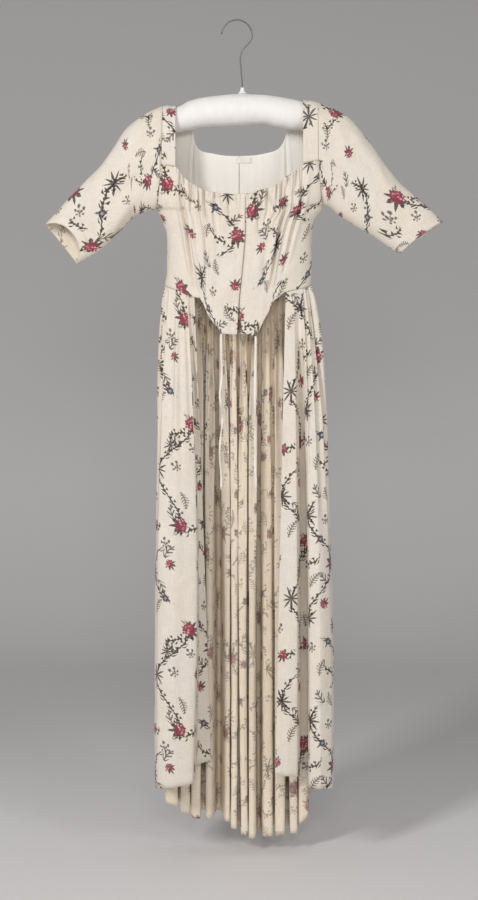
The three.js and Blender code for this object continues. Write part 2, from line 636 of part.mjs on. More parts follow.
function skirtLine(t, places) {
  const bends = BENDS.map((bend) => {
    const grown = mix(t, 1 - (1 - t) ** FOLD_OPENING, bend.early);
    return new THREE.Vector2(
      mix(bend.waistX, bend.x, grown) + bend.bow * Math.sin(Math.PI * t),
      mix(bend.waistY, bend.y, grown),
    );
  });
  const waist = BENDS.map((bend) => new THREE.Vector2(bend.waistX, bend.waistY));
  const pleatDepth = read(PLEAT_DEPTH, "t", t, "depth");
  return places.map((place) => {
    const point = foldCurve(bends, place);
    const on = foldCurve(waist, place);
    const after = foldCurve(waist, Math.min(place + FOLD_SIDE, BENDS.length - 1));
    const before = foldCurve(waist, Math.max(place - FOLD_SIDE, 0));
    const outward = new THREE.Vector2(before.y - after.y, after.x - before.x).normalize();
    const blend = between(BENDS, place);
    const ripple = Math.cos(2 * Math.PI * place) * blend.pleat * pleatDepth;
    point.addScaledVector(outward, ripple);
    const top = seamHeight(on.x, on.y);
    return new THREE.Vector3(point.x, point.y, mix(top, blend.z, t));
  });
}

function makeSkirt() {
  const seams = {
    rightSide: SKIRT_FRONT_RIGHT.length - 1,
    centreBack: SKIRT_FRONT_RIGHT.length + SKIRT_BACK.length,
    leftSide: BENDS.length - SKIRT_FRONT_LEFT.length,
  };
  const places = [];
  for (let bend = 0; bend < BENDS.length - 1; bend += 1) {
    const back = bend >= seams.rightSide && bend < seams.leftSide;
    const count = back ? PLEAT_COLUMNS.back : PLEAT_COLUMNS.front;
    for (let step = 0; step < count; step += 1) {
      places.push(bend + step / count);
    }
  }
  places.push(BENDS.length - 1);
  const outer = SKIRT_ROWS.map((t) => skirtLine(t, places));
  const inner = offsetGrid(outer, -WALL);
  const cut = (from, to) => {
    const [start, end] = [places.indexOf(from), places.indexOf(to)];
    const strip = (grid) => grid.map((line) => {
      const part = line.slice(start, end + 1).map((point) => point.clone());
      const last = part.length - 1;
      if (from > 0) {
        part[0].lerp(part[1], GAP / 2 / part[0].distanceTo(part[1]));
      }
      if (to < BENDS.length - 1) {
        part[last].lerp(part[last - 1], GAP / 2 / part[last].distanceTo(part[last - 1]));
      }
      return part;
    });
    return wall(strip(outer), strip(inner));
  };
  return {
    skirt_front_right: cut(0, seams.rightSide),
    skirt_back_right: cut(seams.rightSide, seams.centreBack),
    skirt_back_left: cut(seams.centreBack, seams.leftSide),
    skirt_front_left: cut(seams.leftSide, BENDS.length - 1),
  };
}

// The hanger
function makePad() {
  const around = PAD_AROUND;
  const rings = [];
  const addRing = (x, centre, radius) => {
    const ring = [];
    for (let step = 0; step < around; step += 1) {
      const angle = (step / around) * 2 * Math.PI;
      ring.push(new THREE.Vector3(x, radius * Math.sin(angle), centre + radius * Math.cos(angle)));
    }
    rings.push(ring);
  };
  PAD.forEach((row, index) => {
    const centre = (row.crest + row.foot) / 2;
    const radius = (row.crest - row.foot) / 2;
    if (index === 0) {
      addRing(row.x - PAD_END.length, centre, radius * PAD_END.radius);
    }
    addRing(row.x, centre, radius);
    if (index === PAD.length - 1) {
      addRing(row.x + PAD_END.length, centre, radius * PAD_END.radius);
    }
  });
  const points = rings.flat();
  const faces = [];
  for (let ring = 0; ring < rings.length - 1; ring += 1) {
    for (let step = 0; step < around; step += 1) {
      const [a, b] = [ring * around + step, ring * around + (step + 1) % around];
      faces.push([a, b, b + around], [a, b + around, a + around]);
    }
  }
  for (const [ring, turned] of [[0, false], [rings.length - 1, true]]) {
    for (let step = 1; step < around - 1; step += 1) {
      const [a, b, c] = [0, step, step + 1].map((at) => ring * around + at);
      faces.push(turned ? [a, b, c] : [a, c, b]);
    }
  }
  return closedSolid(points, faces);
}

function makeHook() {
  const points = [];
  const centre = WIRE_RADIUS - HOOK_RADIUS;
  for (let degrees = HOOK_BEND.tip; degrees >= HOOK_BEND.foot; degrees -= HOOK_BEND.step) {
    const angle = THREE.MathUtils.degToRad(degrees);
    points.push(new THREE.Vector3(HOOK_RADIUS * Math.cos(angle), 0, centre + HOOK_RADIUS * Math.sin(angle)));
  }
  for (const { x, z } of SHANK) {
    points.push(new THREE.Vector3(x, 0, z));
  }
  return tube(points, HOOK_STEPS, roundSection(WIRE_RADIUS, WIRE_RADIUS));
}

function roundSection(halfWidth, halfThickness) {
  const corners = [];
  for (let step = 0; step < CORD_SIDES; step += 1) {
    const angle = ((step + 0.5) / CORD_SIDES) * 2 * Math.PI;
    corners.push(new THREE.Vector2(halfThickness * Math.cos(angle), halfWidth * Math.sin(angle)));
  }
  return new THREE.Shape(corners);
}

function tube(points, steps, section) {
  const extrudePath = new THREE.CatmullRomCurve3(points);
  return new THREE.ExtrudeGeometry(section, { steps, bevelEnabled: false, extrudePath });
}

function makeCollar() {
  const foot = STEM.top + COLLAR_GAP;
  const outline = COLLAR.map(({ radius, height }) => new THREE.Vector2(radius, foot + height));
  const collar = new THREE.LatheGeometry(outline, COLLAR_AROUND);
  collar.rotateX(Math.PI / 2);
  collar.translate(STEM.x, 0, 0);
  return collar;
}

function makeTie(route) {
  const points = route.map(([x, z]) => new THREE.Vector3(x, TIE_PLANE, z));
  return tube(points, TIE_STEPS, roundSection(TIE_WIDTH / 2, TIE_THICKNESS / 2));
}

function makeLabel() {
  const grid = [LABEL.top, LABEL.low].map((z) => [LABEL.left, LABEL.middle, LABEL.right].map((x) => {
    const point = bodyPoint(x, z, "back");
    point.y -= LINING_OFFSET + LINING + GAP;
    return point;
  }));
  return wall(grid, offsetGrid(grid, -LABEL.thickness));
}

// The whole part
const robe = new THREE.Group();
function add(name, geometry, finish) {
  const mesh = new THREE.Mesh(geometry, new THREE.MeshStandardMaterial(COLOURS[finish]));
  mesh.name = name;
  robe.add(mesh);
}

add("bodice_front_right", makeFront(FRONT_RIGHT, "right"), "print");
add("bodice_front_left", makeFront(FRONT_LEFT, "left"), "print");
add("bodice_back_right", makeBack(BACK_RIGHT, "right"), "print");
add("bodice_back_left", makeBack(BACK_LEFT, "left"), "print");
add("lining_back_right", makeLining(BACK_RIGHT, "right"), "linen");
add("lining_back_left", makeLining(BACK_LEFT, "left"), "linen");
add("shoulder_strap_right", makeStrap(SHOULDER.right, FRONT_RIGHT, BACK_RIGHT), "print");
add("shoulder_strap_left", makeStrap(SHOULDER.left, FRONT_LEFT, BACK_LEFT), "print");
add("sleeve_right", makeSleeve(SLEEVE_RIGHT, -1), "print");
add("sleeve_left", makeSleeve(SLEEVE_LEFT, 1), "print");
for (const [name, geometry] of Object.entries(makeSkirt())) {
  add(name, geometry, "print");
}
add("neck_label", makeLabel(), "tape");
add("tie_right", makeTie(TIE_RIGHT), "tape");
add("tie_left", makeTie(TIE_LEFT), "tape");
add("hanger_pad", makePad(), "padding");
add("hanger_collar", makeCollar(), "padding");
add("hanger_hook", makeHook(), "steel");

export default robe;
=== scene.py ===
# %% [markdown]
# An open robe of block-printed cotton, about 1785 to 1795: a bodice drawn up at the neck and pointed
# in front, elbow sleeves, and a long skirt open down the front and pleated across the back. It hangs
# on a padded hanger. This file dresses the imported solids: each cloth piece is remade as a thin, fine
# shell on the same form, and gets its print, weave, creases and stitches.

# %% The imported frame
import math
import bmesh
import bpy
import numpy as np
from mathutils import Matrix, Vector


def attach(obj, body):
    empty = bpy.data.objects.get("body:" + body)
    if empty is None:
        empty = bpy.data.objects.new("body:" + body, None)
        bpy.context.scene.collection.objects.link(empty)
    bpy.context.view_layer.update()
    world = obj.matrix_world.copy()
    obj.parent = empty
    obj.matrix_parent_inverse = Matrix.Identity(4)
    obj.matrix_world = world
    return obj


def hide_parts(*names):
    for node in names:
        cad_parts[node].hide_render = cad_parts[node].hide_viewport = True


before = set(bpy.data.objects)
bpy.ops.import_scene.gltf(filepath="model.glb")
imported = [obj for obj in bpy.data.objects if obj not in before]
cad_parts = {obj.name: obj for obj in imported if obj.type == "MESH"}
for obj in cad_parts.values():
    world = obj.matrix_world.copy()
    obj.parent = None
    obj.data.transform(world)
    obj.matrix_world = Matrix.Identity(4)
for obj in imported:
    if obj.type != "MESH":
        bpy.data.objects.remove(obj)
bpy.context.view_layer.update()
MM = 0.001
print("frame nodes:", len(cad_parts))

# %% [markdown]
# The camera stands four and a half metres in front of the robe, level with its neck edge, and looks slightly
# down, so that the train shows below the front hem. A long lens keeps the upright folds nearly parallel.

# %% Camera
CAMERA_DISTANCE = 4.5
CAMERA_HEIGHT = -0.3195
CAMERA_ASIDE = 0.0044
CAMERA_PITCH = -6.9
CAMERA_LENS = 88.68


def add_object(name, data):
    """A new object in the scene, at its origin, for a mesh, a light or a camera"""
    piece = bpy.data.objects.new(name, data)
    bpy.context.scene.collection.objects.link(piece)
    return piece


camera = add_object("camera", bpy.data.cameras.new("camera"))
camera.data.lens = CAMERA_LENS
camera.data.sensor_width = 36
camera.data.sensor_fit = "AUTO"
camera.location = (CAMERA_ASIDE, -CAMERA_DISTANCE, CAMERA_HEIGHT)
camera.rotation_euler = (math.radians(90 + CAMERA_PITCH), 0, 0)
bpy.context.scene.camera = camera
print("camera height", CAMERA_HEIGHT)

# %% [markdown]
# The sizes below are millimetres, as a maker measures them: +Z is up, the front faces -Y, the wearer's
# left is +X, and zero is the inner top of the hanger's hook. Each table has a row for each section,
# seam point or fold.

# %% Sizes of the body and its seams
# Space between two pieces at a seam
GAP = 0.5
# How square the rounded ovals of body and sleeves are: 2 is a true oval
ROUND = 2.4
ARMHOLE_HEIGHT = 206
ARMHOLE_DEPTH = 90
SHOULDER_LEVEL = -196
FULL_LEVEL = -286
CENTRE_BACK = 5
WAIST_LEVEL = -529
# Thickness of the two cloths, and how far the lining's outer face lies inside the back
CLOTH = 0.7
LINING = 0.6
LINING_OFFSET = 1.7

SHOULDER = {
    "right": {"side": -1, "inner": -122, "innerCrest": -168.2, "outerCrest": -168.5, "centre": -271.5},
    "left": {"side": 1, "inner": 132, "innerCrest": -156, "outerCrest": -161.2, "centre": -264.2},
}


def table(columns, *rows):
    """A table with named columns, as one array for each column"""
    return {name: np.array([row[at] for row in rows], float) for at, name in enumerate(columns.split())}


BODY = table(
    "z right left front back",
    (-160, -148.5, 162, 46, 43),
    (-196, -148.5, 162, 46, 43),
    (-290, -151, 163.5, 53, 44),
    (-340, -156, 168.5, 55, 44),
    (-372, -159.5, 171.5, 55, 44),
    (-400, -150, 156, 54, 44),
    (-425, -142, 152, 53, 43),
    (-462, -141, 151.5, 52, 43),
    (-497, -141.5, 151.5, 51, 43),
    (-529, -145.6, 151.3, 50, 43),
    (-640, -145.6, 151.3, 50, 43),
)
CENTRE_FRONT = table(
    "z right left",
    (-343, 16.6, 17.2),
    (-428, 16.2, 16.8),
    (-462, 13.6, 14.4),
    (-515, 8.4, 9.4),
    (-566, 3.4, 5.6),
    (-600, 1.6, 6.9),
    (-630, 0.4, 7.8),
)
FRONT = {
    "right": table(
        "topX topZ lowX lowZ",
        (16.6, -343, 0.4, -624),
        (-4, -343.5, -10, -624),
        (-22, -342.5, -20, -623.5),
        (-40, -341, -31, -622.5),
        (-55, -338.5, -45, -604),
        (-70, -334, -59.5, -583),
        (-84, -325, -68, -561),
        (-97, -317, -75, -551),
        (-110, -305, -95, -548.5),
        (-121, -290, -115, -538),
        (-134, -288, -130, -533),
        (-144, -286.8, -140, -530.5),
        (-149, -286.2, -144.3, -529.2),
        (-150.8, -286, -145.6, -529),
    ),
    "left": table(
        "topX topZ lowX lowZ",
        (17.2, -343, 7.8, -623),
        (30, -341.5, 18, -624.5),
        (43, -337, 28, -626),
        (56, -333, 36.5, -627.5),
        (70, -328.5, 45.5, -615),
        (84, -321, 54, -597),
        (98, -310, 65, -577),
        (111, -301.5, 76, -556),
        (123, -293.5, 95, -540.5),
        (132, -283, 115, -536),
        (145, -280.5, 133, -532),
        (156, -279, 144, -529.5),
        (161.5, -278.3, 149.8, -528.2),
        (163.4, -278, 151.3, -528),
    ),
}
BACK = {
    "right": table(
        "topX topZ lowX lowZ",
        (5, -268, 5, -576),
        (-22, -267, -22, -573),
        (-50, -262.5, -50, -565),
        (-72, -257.5, -76, -555),
        (-83, -245, -98, -546.5),
        (-91, -217, -115, -540),
        (-110, -196, -130, -534.5),
        (-132, -196, -140, -531),
        (-144, -196, -144.3, -529.4),
        (-148.5, -196, -145.6, -529),
    ),
    "left": table(
        "topX topZ lowX lowZ",
        (5, -268, 5, -576),
        (34, -266.5, 32, -573),
        (60, -262, 58, -565),
        (80, -256, 82, -555),
        (93, -243, 103, -546.5),
        (103, -217, 120, -540),
        (122, -196, 135, -534),
        (144, -196, 145, -530),
        (157, -196, 149.8, -528.4),
        (162, -196, 151.3, -528),
    ),
}
# The first nine places of a front's table are its gathers, and the seventh row of a back's table is
# the inner edge of the strap
GATHERS = 9
SHOULDER_COLUMN = 6
print("body sections:", len(BODY["z"]))

# %% Sizes of the sleeves
SLEEVE = {
    "right": table(
        "topX topZ lowX lowZ depth",
        (-149.4, -168.5, -160.3, -374.5, 90),
        (-174.6, -179, -173.6, -378, 86),
        (-198.6, -194, -189.6, -382, 82),
        (-222.6, -214, -204.6, -388, 78),
        (-243, -244, -221.6, -405, 74),
        (-269.6, -282, -240.6, -424, 69),
        (-306.6, -320, -264.6, -447, 63),
        (-344.6, -359, -292.6, -468, 57),
        (-387.6, -406, -323.6, -486, 52),
    ),
    "left": table(
        "topX topZ lowX lowZ depth",
        (162.9, -161.2, 172.3, -367.2, 90),
        (189.4, -172, 185.4, -370, 86),
        (216.4, -185, 202.4, -384, 82),
        (239.4, -205, 220.4, -397, 78),
        (259.4, -230, 240.4, -410, 74),
        (288.4, -270, 265.4, -424, 69),
        (324.4, -316, 289.4, -439, 63),
        (369.4, -356, 309.4, -453, 57),
        (416.4, -400, 330.4, -464, 52),
    ),
}

# %% Sizes of the skirt's folds
SKIRT_FRONT = {
    "right": table(
        "seam x y z early bow pleat",
        (88, -53.6, 5, -1514, 0.1, 0, 0),
        (96, -81.6, -12, -1522, 0.2, 8, 0),
        (104, -90.6, -80, -1541, 0.6, 12, 0),
        (124, -126, -91, -1547, 1, 0, 0),
        (143, -163, -76, -1553, 1, 0, 0.4),
        (153, -169, -42, -1558, 1, 0, 0.6),
        (162, -149, -17, -1563, 1, 0, 0.8),
        (171, -162, 12, -1571, 1, 0, 1),
        (181, -145, 31, -1580, 1, 0, 1),
    ),
    "left": table(
        "seam x y z early bow pleat",
        (96, 78.4, -80, -1524, 0.1, 0, 0),
        (105, 102, -89, -1524, 0.4, 0, 0),
        (113, 123.4, -80, -1528, 0.8, 0, 0),
        (122, 136, -38, -1542, 0.8, 0, 0),
        (131, 149.4, -80, -1550, 1, 0, 0.4),
        (138, 170, -88, -1551, 1, 0, 0.6),
        (146, 194, -70, -1555, 1, 0, 0.6),
        (154, 198, -36, -1563, 1, 0, 0.8),
        (163, 172, -10, -1568, 1, 0, 0.8),
        (172, 184, 18, -1574, 1, 0, 1),
        (181, 161, 36, -1585, 1, 0, 1),
    ),
}
SKIRT_BACK = table(
    "outerX outerY innerX innerY",
    (-155, 71, -131, 28),
    (-121, 80, -110, 26),
    (-97, 84, -84, 22),
    (-71, 86, -57, 18),
    (-39, 92, -22, 26),
    (-14, 80, -5, 17),
    (4, 82, 13, 22),
    (24, 86, 35, 18),
    (46, 88, 60, 27),
    (78, 92, 94, 20),
    (106, 84, 117, 24),
    (128, 80, 139, 30),
)
SKIRT_BACK_END = (162, 73)
HEM_BACK = table(
    "x z",
    (-160, -1586),
    (-131, -1618),
    (-106, -1638),
    (-78, -1647),
    (-48, -1643),
    (-22, -1652),
    (12, -1680),
    (38, -1688),
    (94, -1681),
    (130, -1676),
    (160, -1600),
)
PLEAT_DEPTH = table(
    "t depth",
    (0, 0.4),
    (0.03, 4.6),
    (0.1, 8.0),
    (0.2, 8.2),
    (0.36, 4.2),
    (0.6, 0),
    (1, 0),
)
FOLD_ROUNDNESS = 0.42
FOLD_LIMIT = 1.1
FOLD_OPENING = 2.6
print("back folds:", len(SKIRT_BACK["outerX"]))

# %% Sizes of the hanger and the ties
PAD = table(
    "x crest foot",
    (-199, -204, -234),
    (-175, -185, -230),
    (-148, -171.2, -225),
    (-122, -170.8, -223),
    (-94, -158, -217),
    (-58, -150.5, -210.5),
    (6, -145, -207.5),
    (50, -146.5, -205),
    (86, -151, -211.5),
    (110, -155, -216.5),
    (132, -160, -217),
    (162, -164, -218.5),
    (190, -177, -221),
    (212, -192, -222),
)
PAD_END = 7
WIRE_RADIUS = 1.4
HOOK_RADIUS = 30.5
STEM_X = 11
STEM_TOP = -145.2
TIE_WIDTH = 4.5
TIE_THICKNESS = 0.6
TIE_PLANE = -49.4
TIE_RIGHT = [
    (-31.5, -623), (-31.6, -640), (-31, -665), (-30.4, -690), (-30.8, -714), (-33.2, -732),
    (-34.4, -744), (-32.4, -762), (-28.8, -786), (-30, -806), (-32.8, -830), (-34.2, -852),
    (-34.6, -874), (-32.6, -898), (-31.4, -918), (-31.8, -935),
]
TIE_LEFT = [
    (37.8, -627.8), (37.9, -644), (37.4, -668), (36.8, -694), (36.4, -722), (36.6, -752),
    (37, -782), (37.2, -808), (36.8, -836), (36.2, -862), (36.4, -884), (37.6, -906),
    (39, -922), (38.6, -938),
]

# %% [markdown]
# A few lines of arithmetic carry all the shapes: straight and smooth reading of a table between its
# rows, and an easing that starts and ends gently. They work on whole arrays, so that a fine piece is
# made in a fraction of a second.

# %% Arithmetic


def mix(a, b, t):
    return a + (b - a) * t


def ease(t):
    t = np.clip(t, 0, 1)
    return t * t * (3 - 2 * t)


def power(value, exponent):
    """A power that keeps the value's sign"""
    return np.sign(value) * np.abs(value) ** exponent


def ridge(distance, breadth):
    """1 on a line, and softly down to 0 a few breadths away from it"""
    return np.exp(-((distance / breadth) ** 2))


def hermite(start, end, lean_out, lean_in, u):
    """A smooth run from start to end as u goes from 0 to 1, with its lean at both ends"""
    return (
        start * (2 * u**3 - 3 * u**2 + 1)
        + end * (3 * u**2 - 2 * u**3)
        + lean_out * (u**3 - 2 * u**2 + u)
        + lean_in * (u**3 - u**2)
    )


def straight(keys, values, at):
    """Value at a place between two rows, on a straight line"""
    if keys[0] > keys[-1]:
        keys, values = keys[::-1], values[::-1]
    return np.interp(at, keys, values)


def smooth(keys, values, at):
    """Value at a place between two rows, on a smooth curve that never swings past the rows"""
    if keys[0] > keys[-1]:
        keys, values = keys[::-1], values[::-1]
    step = np.diff(keys)
    slope = np.diff(values) / step
    lean = np.empty(len(keys))
    lean[0], lean[-1] = slope[0], slope[-1]
    before, after = slope[:-1], slope[1:]
    total = np.where(before + after == 0, 1, before + after)
    lean[1:-1] = np.where(before * after > 0, 2 * before * after / total, 0)
    at = np.clip(at, keys[0], keys[-1])
    row = np.clip(np.searchsorted(keys, at, side="right") - 1, 0, len(keys) - 2)
    u = (at - keys[row]) / step[row]
    return hermite(values[row], values[row + 1], step[row] * lean[row], step[row] * lean[row + 1], u)


def by_place(rows, names, place, reader=smooth):
    """Columns of a table, read by row number"""
    numbers = np.arange(len(next(iter(rows.values()))), dtype=float)
    return [reader(numbers, rows[name], place) for name in names.split()]


print("halfway on an eased path:", ease(0.5))


# %% [markdown]
# Every cloth piece is a grid of points, rows down the cloth and columns across it. The grid becomes a
# mesh with a UV map in metres of flat cloth, so that the print keeps its size everywhere, and then a
# thin Solidify wall whose inner face takes a second material, the wrong side of the cloth.

# %% Distances on a grid


def normals(grid, closed=False):
    """Direction square to the cloth at each point of a grid of rows x columns x 3"""
    if closed:
        wide = np.concatenate([grid[:, -1:], grid, grid[:, :1]], axis=1)
        across = (wide[:, 2:] - wide[:, :-2]) / 2
    else:
        across = np.gradient(grid, axis=1)
    down = np.gradient(grid, axis=0)
    square = np.cross(across, down)
    return square / np.maximum(np.linalg.norm(square, axis=2, keepdims=True), 1e-9)


def lengths_along(grid, axis):
    """Distance along the cloth from the first row or column, in millimetres"""
    steps = np.linalg.norm(np.diff(grid, axis=axis), axis=2)
    pad = [(0, 0), (0, 0)]
    pad[axis] = (1, 0)
    return np.cumsum(np.pad(steps, pad), axis=axis)


def flat_places(grid):
    """u across and v down the flat cloth at each point, in millimetres"""
    return lengths_along(grid, 1), lengths_along(grid, 0)


def cloth_area(grid):
    """Area of a grid in square metres"""
    a = grid[1:, 1:] - grid[:-1, :-1]
    b = grid[1:, :-1] - grid[:-1, 1:]
    return float(np.linalg.norm(np.cross(a, b), axis=2).sum() / 2 * MM * MM)


print("a grid's directions: rows down, columns across")

# %% Creases and rumples
# How many waves make up a rumple, and how much longer each is across its run than along it
RUMPLE_WAVES = 7
RUMPLE_CROSS = 2.3


def crease(u, v, rows):
    """Height of listed soft folds at flat places u, v: each runs from one point to another, is deepest along
    its line, and dies away at its ends"""
    height = np.zeros_like(u)
    for u0, v0, u1, v1, depth, width in rows:
        line = np.array([u1 - u0, v1 - v0], float)
        along = ((u - u0) * line[0] + (v - v0) * line[1]) / (line @ line)
        held = np.clip(along, 0, 1)
        away = np.hypot(u - u0 - held * line[0], v - v0 - held * line[1])
        swell = 0.35 + 0.65 * np.sin(np.pi * np.clip(along, 0.02, 0.98))
        height += depth * swell * ridge(away, width)
    return height


def rumple(u, v, size, seed):
    """Gentle uneven waves of the cloth, about one millimetre high before scaling"""
    draw = np.random.default_rng(seed)
    height = np.zeros_like(u)
    for wave in range(RUMPLE_WAVES):
        heading = draw.uniform(0, np.pi)
        length = size * draw.uniform(0.6, 1.7)
        phase = draw.uniform(0, 2 * np.pi, 2)
        run = u * np.cos(heading) + v * np.sin(heading)
        cross = -u * np.sin(heading) + v * np.cos(heading)
        along = np.sin(2 * np.pi * run / length + phase[0])
        height += along * np.cos(2 * np.pi * cross / (RUMPLE_CROSS * length) + phase[1])
    return height / 4


print("waves in a rumple:", RUMPLE_WAVES)

# %% A cloth shell


def make_cloth(name, grid, u, v, turned=False, face_u=None):
    """A mesh from a grid. u and v are flat places in millimetres; face_u gives each column strip its
    own pair of u values where a fold hides cloth between its two faces"""
    rows, cols = grid.shape[:2]
    mesh = bpy.data.meshes.new(name)
    verts = grid.reshape(-1, 3) * MM
    row, col = np.meshgrid(np.arange(rows - 1), np.arange(cols - 1), indexing="ij")
    row, col = row.ravel(), col.ravel()
    first = row * cols + col
    corners = np.stack([first, first + cols, first + cols + 1, first + 1], axis=1)
    left_u, right_u = (u[:, :-1], u[:, 1:]) if face_u is None else face_u
    us = np.stack([left_u[row, col], left_u[row + 1, col], right_u[row + 1, col], right_u[row, col]], axis=1)
    vs = np.stack([v[row, col], v[row + 1, col], v[row + 1, col + 1], v[row, col + 1]], axis=1)
    if turned:
        corners, us, vs = corners[:, ::-1], us[:, ::-1], vs[:, ::-1]
    mesh.from_pydata(verts.tolist(), [], corners.tolist())
    layer = mesh.uv_layers.new(name="flat_cloth")
    layer.data.foreach_set("uv", np.stack([us, -vs], axis=2).ravel() * MM)
    mesh.polygons.foreach_set("use_smooth", np.ones(len(mesh.polygons), bool))
    return add_object(name, mesh)


def settle(piece, node=None):
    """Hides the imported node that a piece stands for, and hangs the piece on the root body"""
    if node:
        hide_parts(node)
    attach(piece, "root")
    return piece


def dress(piece, node, thickness, materials):
    """Gives a cloth shell its wall, its two sides' materials and its place in the frame"""
    for material in materials:
        piece.data.materials.append(material)
    wall = piece.modifiers.new("wall", "SOLIDIFY")
    wall.thickness = thickness * MM
    wall.offset = -1
    if len(materials) > 1:
        wall.material_offset = 1
    return settle(piece, node)


print("cloth walls:", CLOTH, "and", LINING, "mm")

# %% [markdown]
# The print is drawn by arithmetic on the cloth's own flat places, so it bends with every fold and
# needs no picture. Four small jobs are shared by all the motifs: add a sum, mix two values, find the
# nearest copy of a motif within the repeat, and make a ring of points round a centre.

# %% Material arithmetic


def tone(code):
    """A colour from its six-figure screen code, in the renderer's linear values"""
    parts = [int(code[at:at + 2], 16) / 255 for at in (0, 2, 4)]
    linear = [part / 12.92 if part <= 0.04045 else ((part + 0.055) / 1.055) ** 2.4 for part in parts]
    return (*linear, 1)


class Drawing:
    """Adds nodes to a tree. A value is a number, a tuple or another node's socket"""

    def __init__(self, tree):
        self.tree = tree

    def join(self, socket, value):
        if isinstance(value, bpy.types.NodeSocket):
            self.tree.links.new(value, socket)
        else:
            socket.default_value = value

    def sum(self, operation, *values, clamp=False):
        node = self.tree.nodes.new("ShaderNodeMath")
        node.operation = operation
        node.use_clamp = clamp
        for socket, value in zip(node.inputs, values):
            self.join(socket, value)
        return node.outputs[0]

    def vector(self, operation, *values, scale=None):
        node = self.tree.nodes.new("ShaderNodeVectorMath")
        node.operation = operation
        for socket, value in zip(node.inputs, values):
            self.join(socket, value)
        if scale is not None:
            self.join(node.inputs["Scale"], scale)
        return node.outputs["Value" if operation in ("LENGTH", "DOT_PRODUCT") else "Vector"]

    def mix(self, kind, factor, a, b):
        node = self.tree.nodes.new("ShaderNodeMix")
        node.data_type = kind
        first, output = {"FLOAT": (2, 0), "VECTOR": (4, 1), "RGBA": (6, 2)}[kind]
        self.join(node.inputs[0], factor)
        self.join(node.inputs[first], a)
        self.join(node.inputs[first + 1], b)
        return node.outputs[output]

    def noise(self, place, scale, detail=2.0, stretch=None):
        if stretch:
            place = self.vector("MULTIPLY", place, stretch)
        node = self.tree.nodes.new("ShaderNodeTexNoise")
        self.join(node.inputs["Vector"], place)
        node.inputs["Scale"].default_value = scale
        node.inputs["Detail"].default_value = detail
        return node.outputs["Fac"]

    def under(self, value, limit, soft=0.08):
        """1 where value lies under limit, with a soft edge"""
        gap = self.sum("SUBTRACT", limit, value)
        return self.sum("MULTIPLY_ADD", gap, 1 / soft, 0.5, clamp=True)

    def both(self, *masks):
        held = masks[0]
        for mask in masks[1:]:
            held = self.sum("MULTIPLY", held, mask)
        return held

    def either(self, *masks):
        held = masks[0]
        for mask in masks[1:]:
            held = self.sum("MAXIMUM", held, mask)
        return held

    def parts(self, place, axes=(0, 1)):
        node = self.tree.nodes.new("ShaderNodeSeparateXYZ")
        self.join(node.inputs[0], place)
        return tuple(node.outputs[axis] for axis in axes)

    def polar(self, place):
        x, y = self.parts(place)
        return self.vector("LENGTH", place), self.sum("ARCTAN2", y, x)

    def teeth(self, value, count, start=0.0):
        """Rises to 1 and falls to 0 again, count times in each whole turn or unit"""
        part = self.sum("FRACT", self.sum("MULTIPLY_ADD", value, count, start))
        return self.sum("SUBTRACT", 1, self.sum("ABSOLUTE", self.sum("MULTIPLY_ADD", part, 2, -1)))

    def nearest(self, place, copies, tile):
        """Place measured from the nearest copy of a motif, turned and scaled to that copy"""
        best = None
        half = (tile[0] / 2, tile[1] / 2, 1)
        for u, v, turn, size in copies:
            here = self.vector("SUBTRACT", place, (u, v, 0))
            here = self.vector("WRAP", here, half, (-half[0], -half[1], -1))
            node = self.tree.nodes.new("ShaderNodeVectorRotate")
            node.rotation_type = "Z_AXIS"
            self.join(node.inputs["Vector"], here)
            node.inputs["Angle"].default_value = math.radians(-turn)
            here = self.vector("SCALE", node.outputs[0], scale=1 / size)
            if best is None:
                best = here
            else:
                closer = self.sum("LESS_THAN", self.vector("LENGTH", here), self.vector("LENGTH", best))
                best = self.mix("VECTOR", closer, best, here)
        return best


# Makes an angle a share of a whole turn
TURN = 1 / (2 * math.pi)
print("middle grey in linear values:", round(tone("808080")[0], 3))

# %% [markdown]
# On the real gown the print came from carved blocks: trailing branches in a dark purple-brown, with
# red and blue flowers filled in by smaller blocks, all repeating every 42 cm down the cloth. Here two
# long wavy branches run down the repeat and two short ones cross it. The flowers, leaves and berries
# are set on and between them in a layout of this file's own.

# %% Layout of the print
REPEAT = (270, 420)
# How much of its way a branch is drawn: 1 is all, -1 is none
BRANCH_PRESENT = 0.74
CROSSING_PRESENT = -0.35
BEAD_LENGTH = 6.2
BEAD_CORE = 0.75
BEAD_SWELL = 2.3
BUD_SPACING = 10.5
BUD_REACH = 10
# Length of branch after which the buds change sides
BUD_SIDES = 21
# How far the block's edges wander in printing
INK_WANDER = 2.6
# Where in the printed cloth each piece was cut: across and down, in millimetres
PRINT_START = {
    "front_right": (0, 40), "front_left": (160, 40), "back_right": (300, 90), "back_left": (155, 240),
    "strap_right": (60, 300), "strap_left": (215, 300), "sleeve_right": (430, 30),
    "sleeve_left": (195, 30), "skirt_front_right": (40, 25), "skirt_back_right": (260, 25),
    "skirt_back_left": (1350, 90), "skirt_front_left": (2345, 190),
}
BRANCHES = [
    {"middle": 66, "swing": 12, "second": 38, "lean": 0.4, "curl": 2.1},
    {"middle": 200, "swing": 14, "second": 36, "lean": 3.5, "curl": 0.7},
]
CROSSINGS = [
    {"middle": 116, "swing": 20, "second": 16, "lean": 1.2, "curl": 0.4},
    {"middle": 322, "swing": 22, "second": 18, "lean": 4.0, "curl": 2.6},
]


def branch_u(branch, v):
    """How far across the repeat a branch lies at height v"""
    turn = 2 * math.pi * v / REPEAT[1]
    return (
        branch["middle"]
        + branch["swing"] * math.sin(turn + branch["lean"])
        + branch["second"] * math.sin(2 * turn + branch["curl"])
    )


def on_branch(number, v, aside, turn, size):
    return (branch_u(BRANCHES[number], v) + aside, v, turn, size)


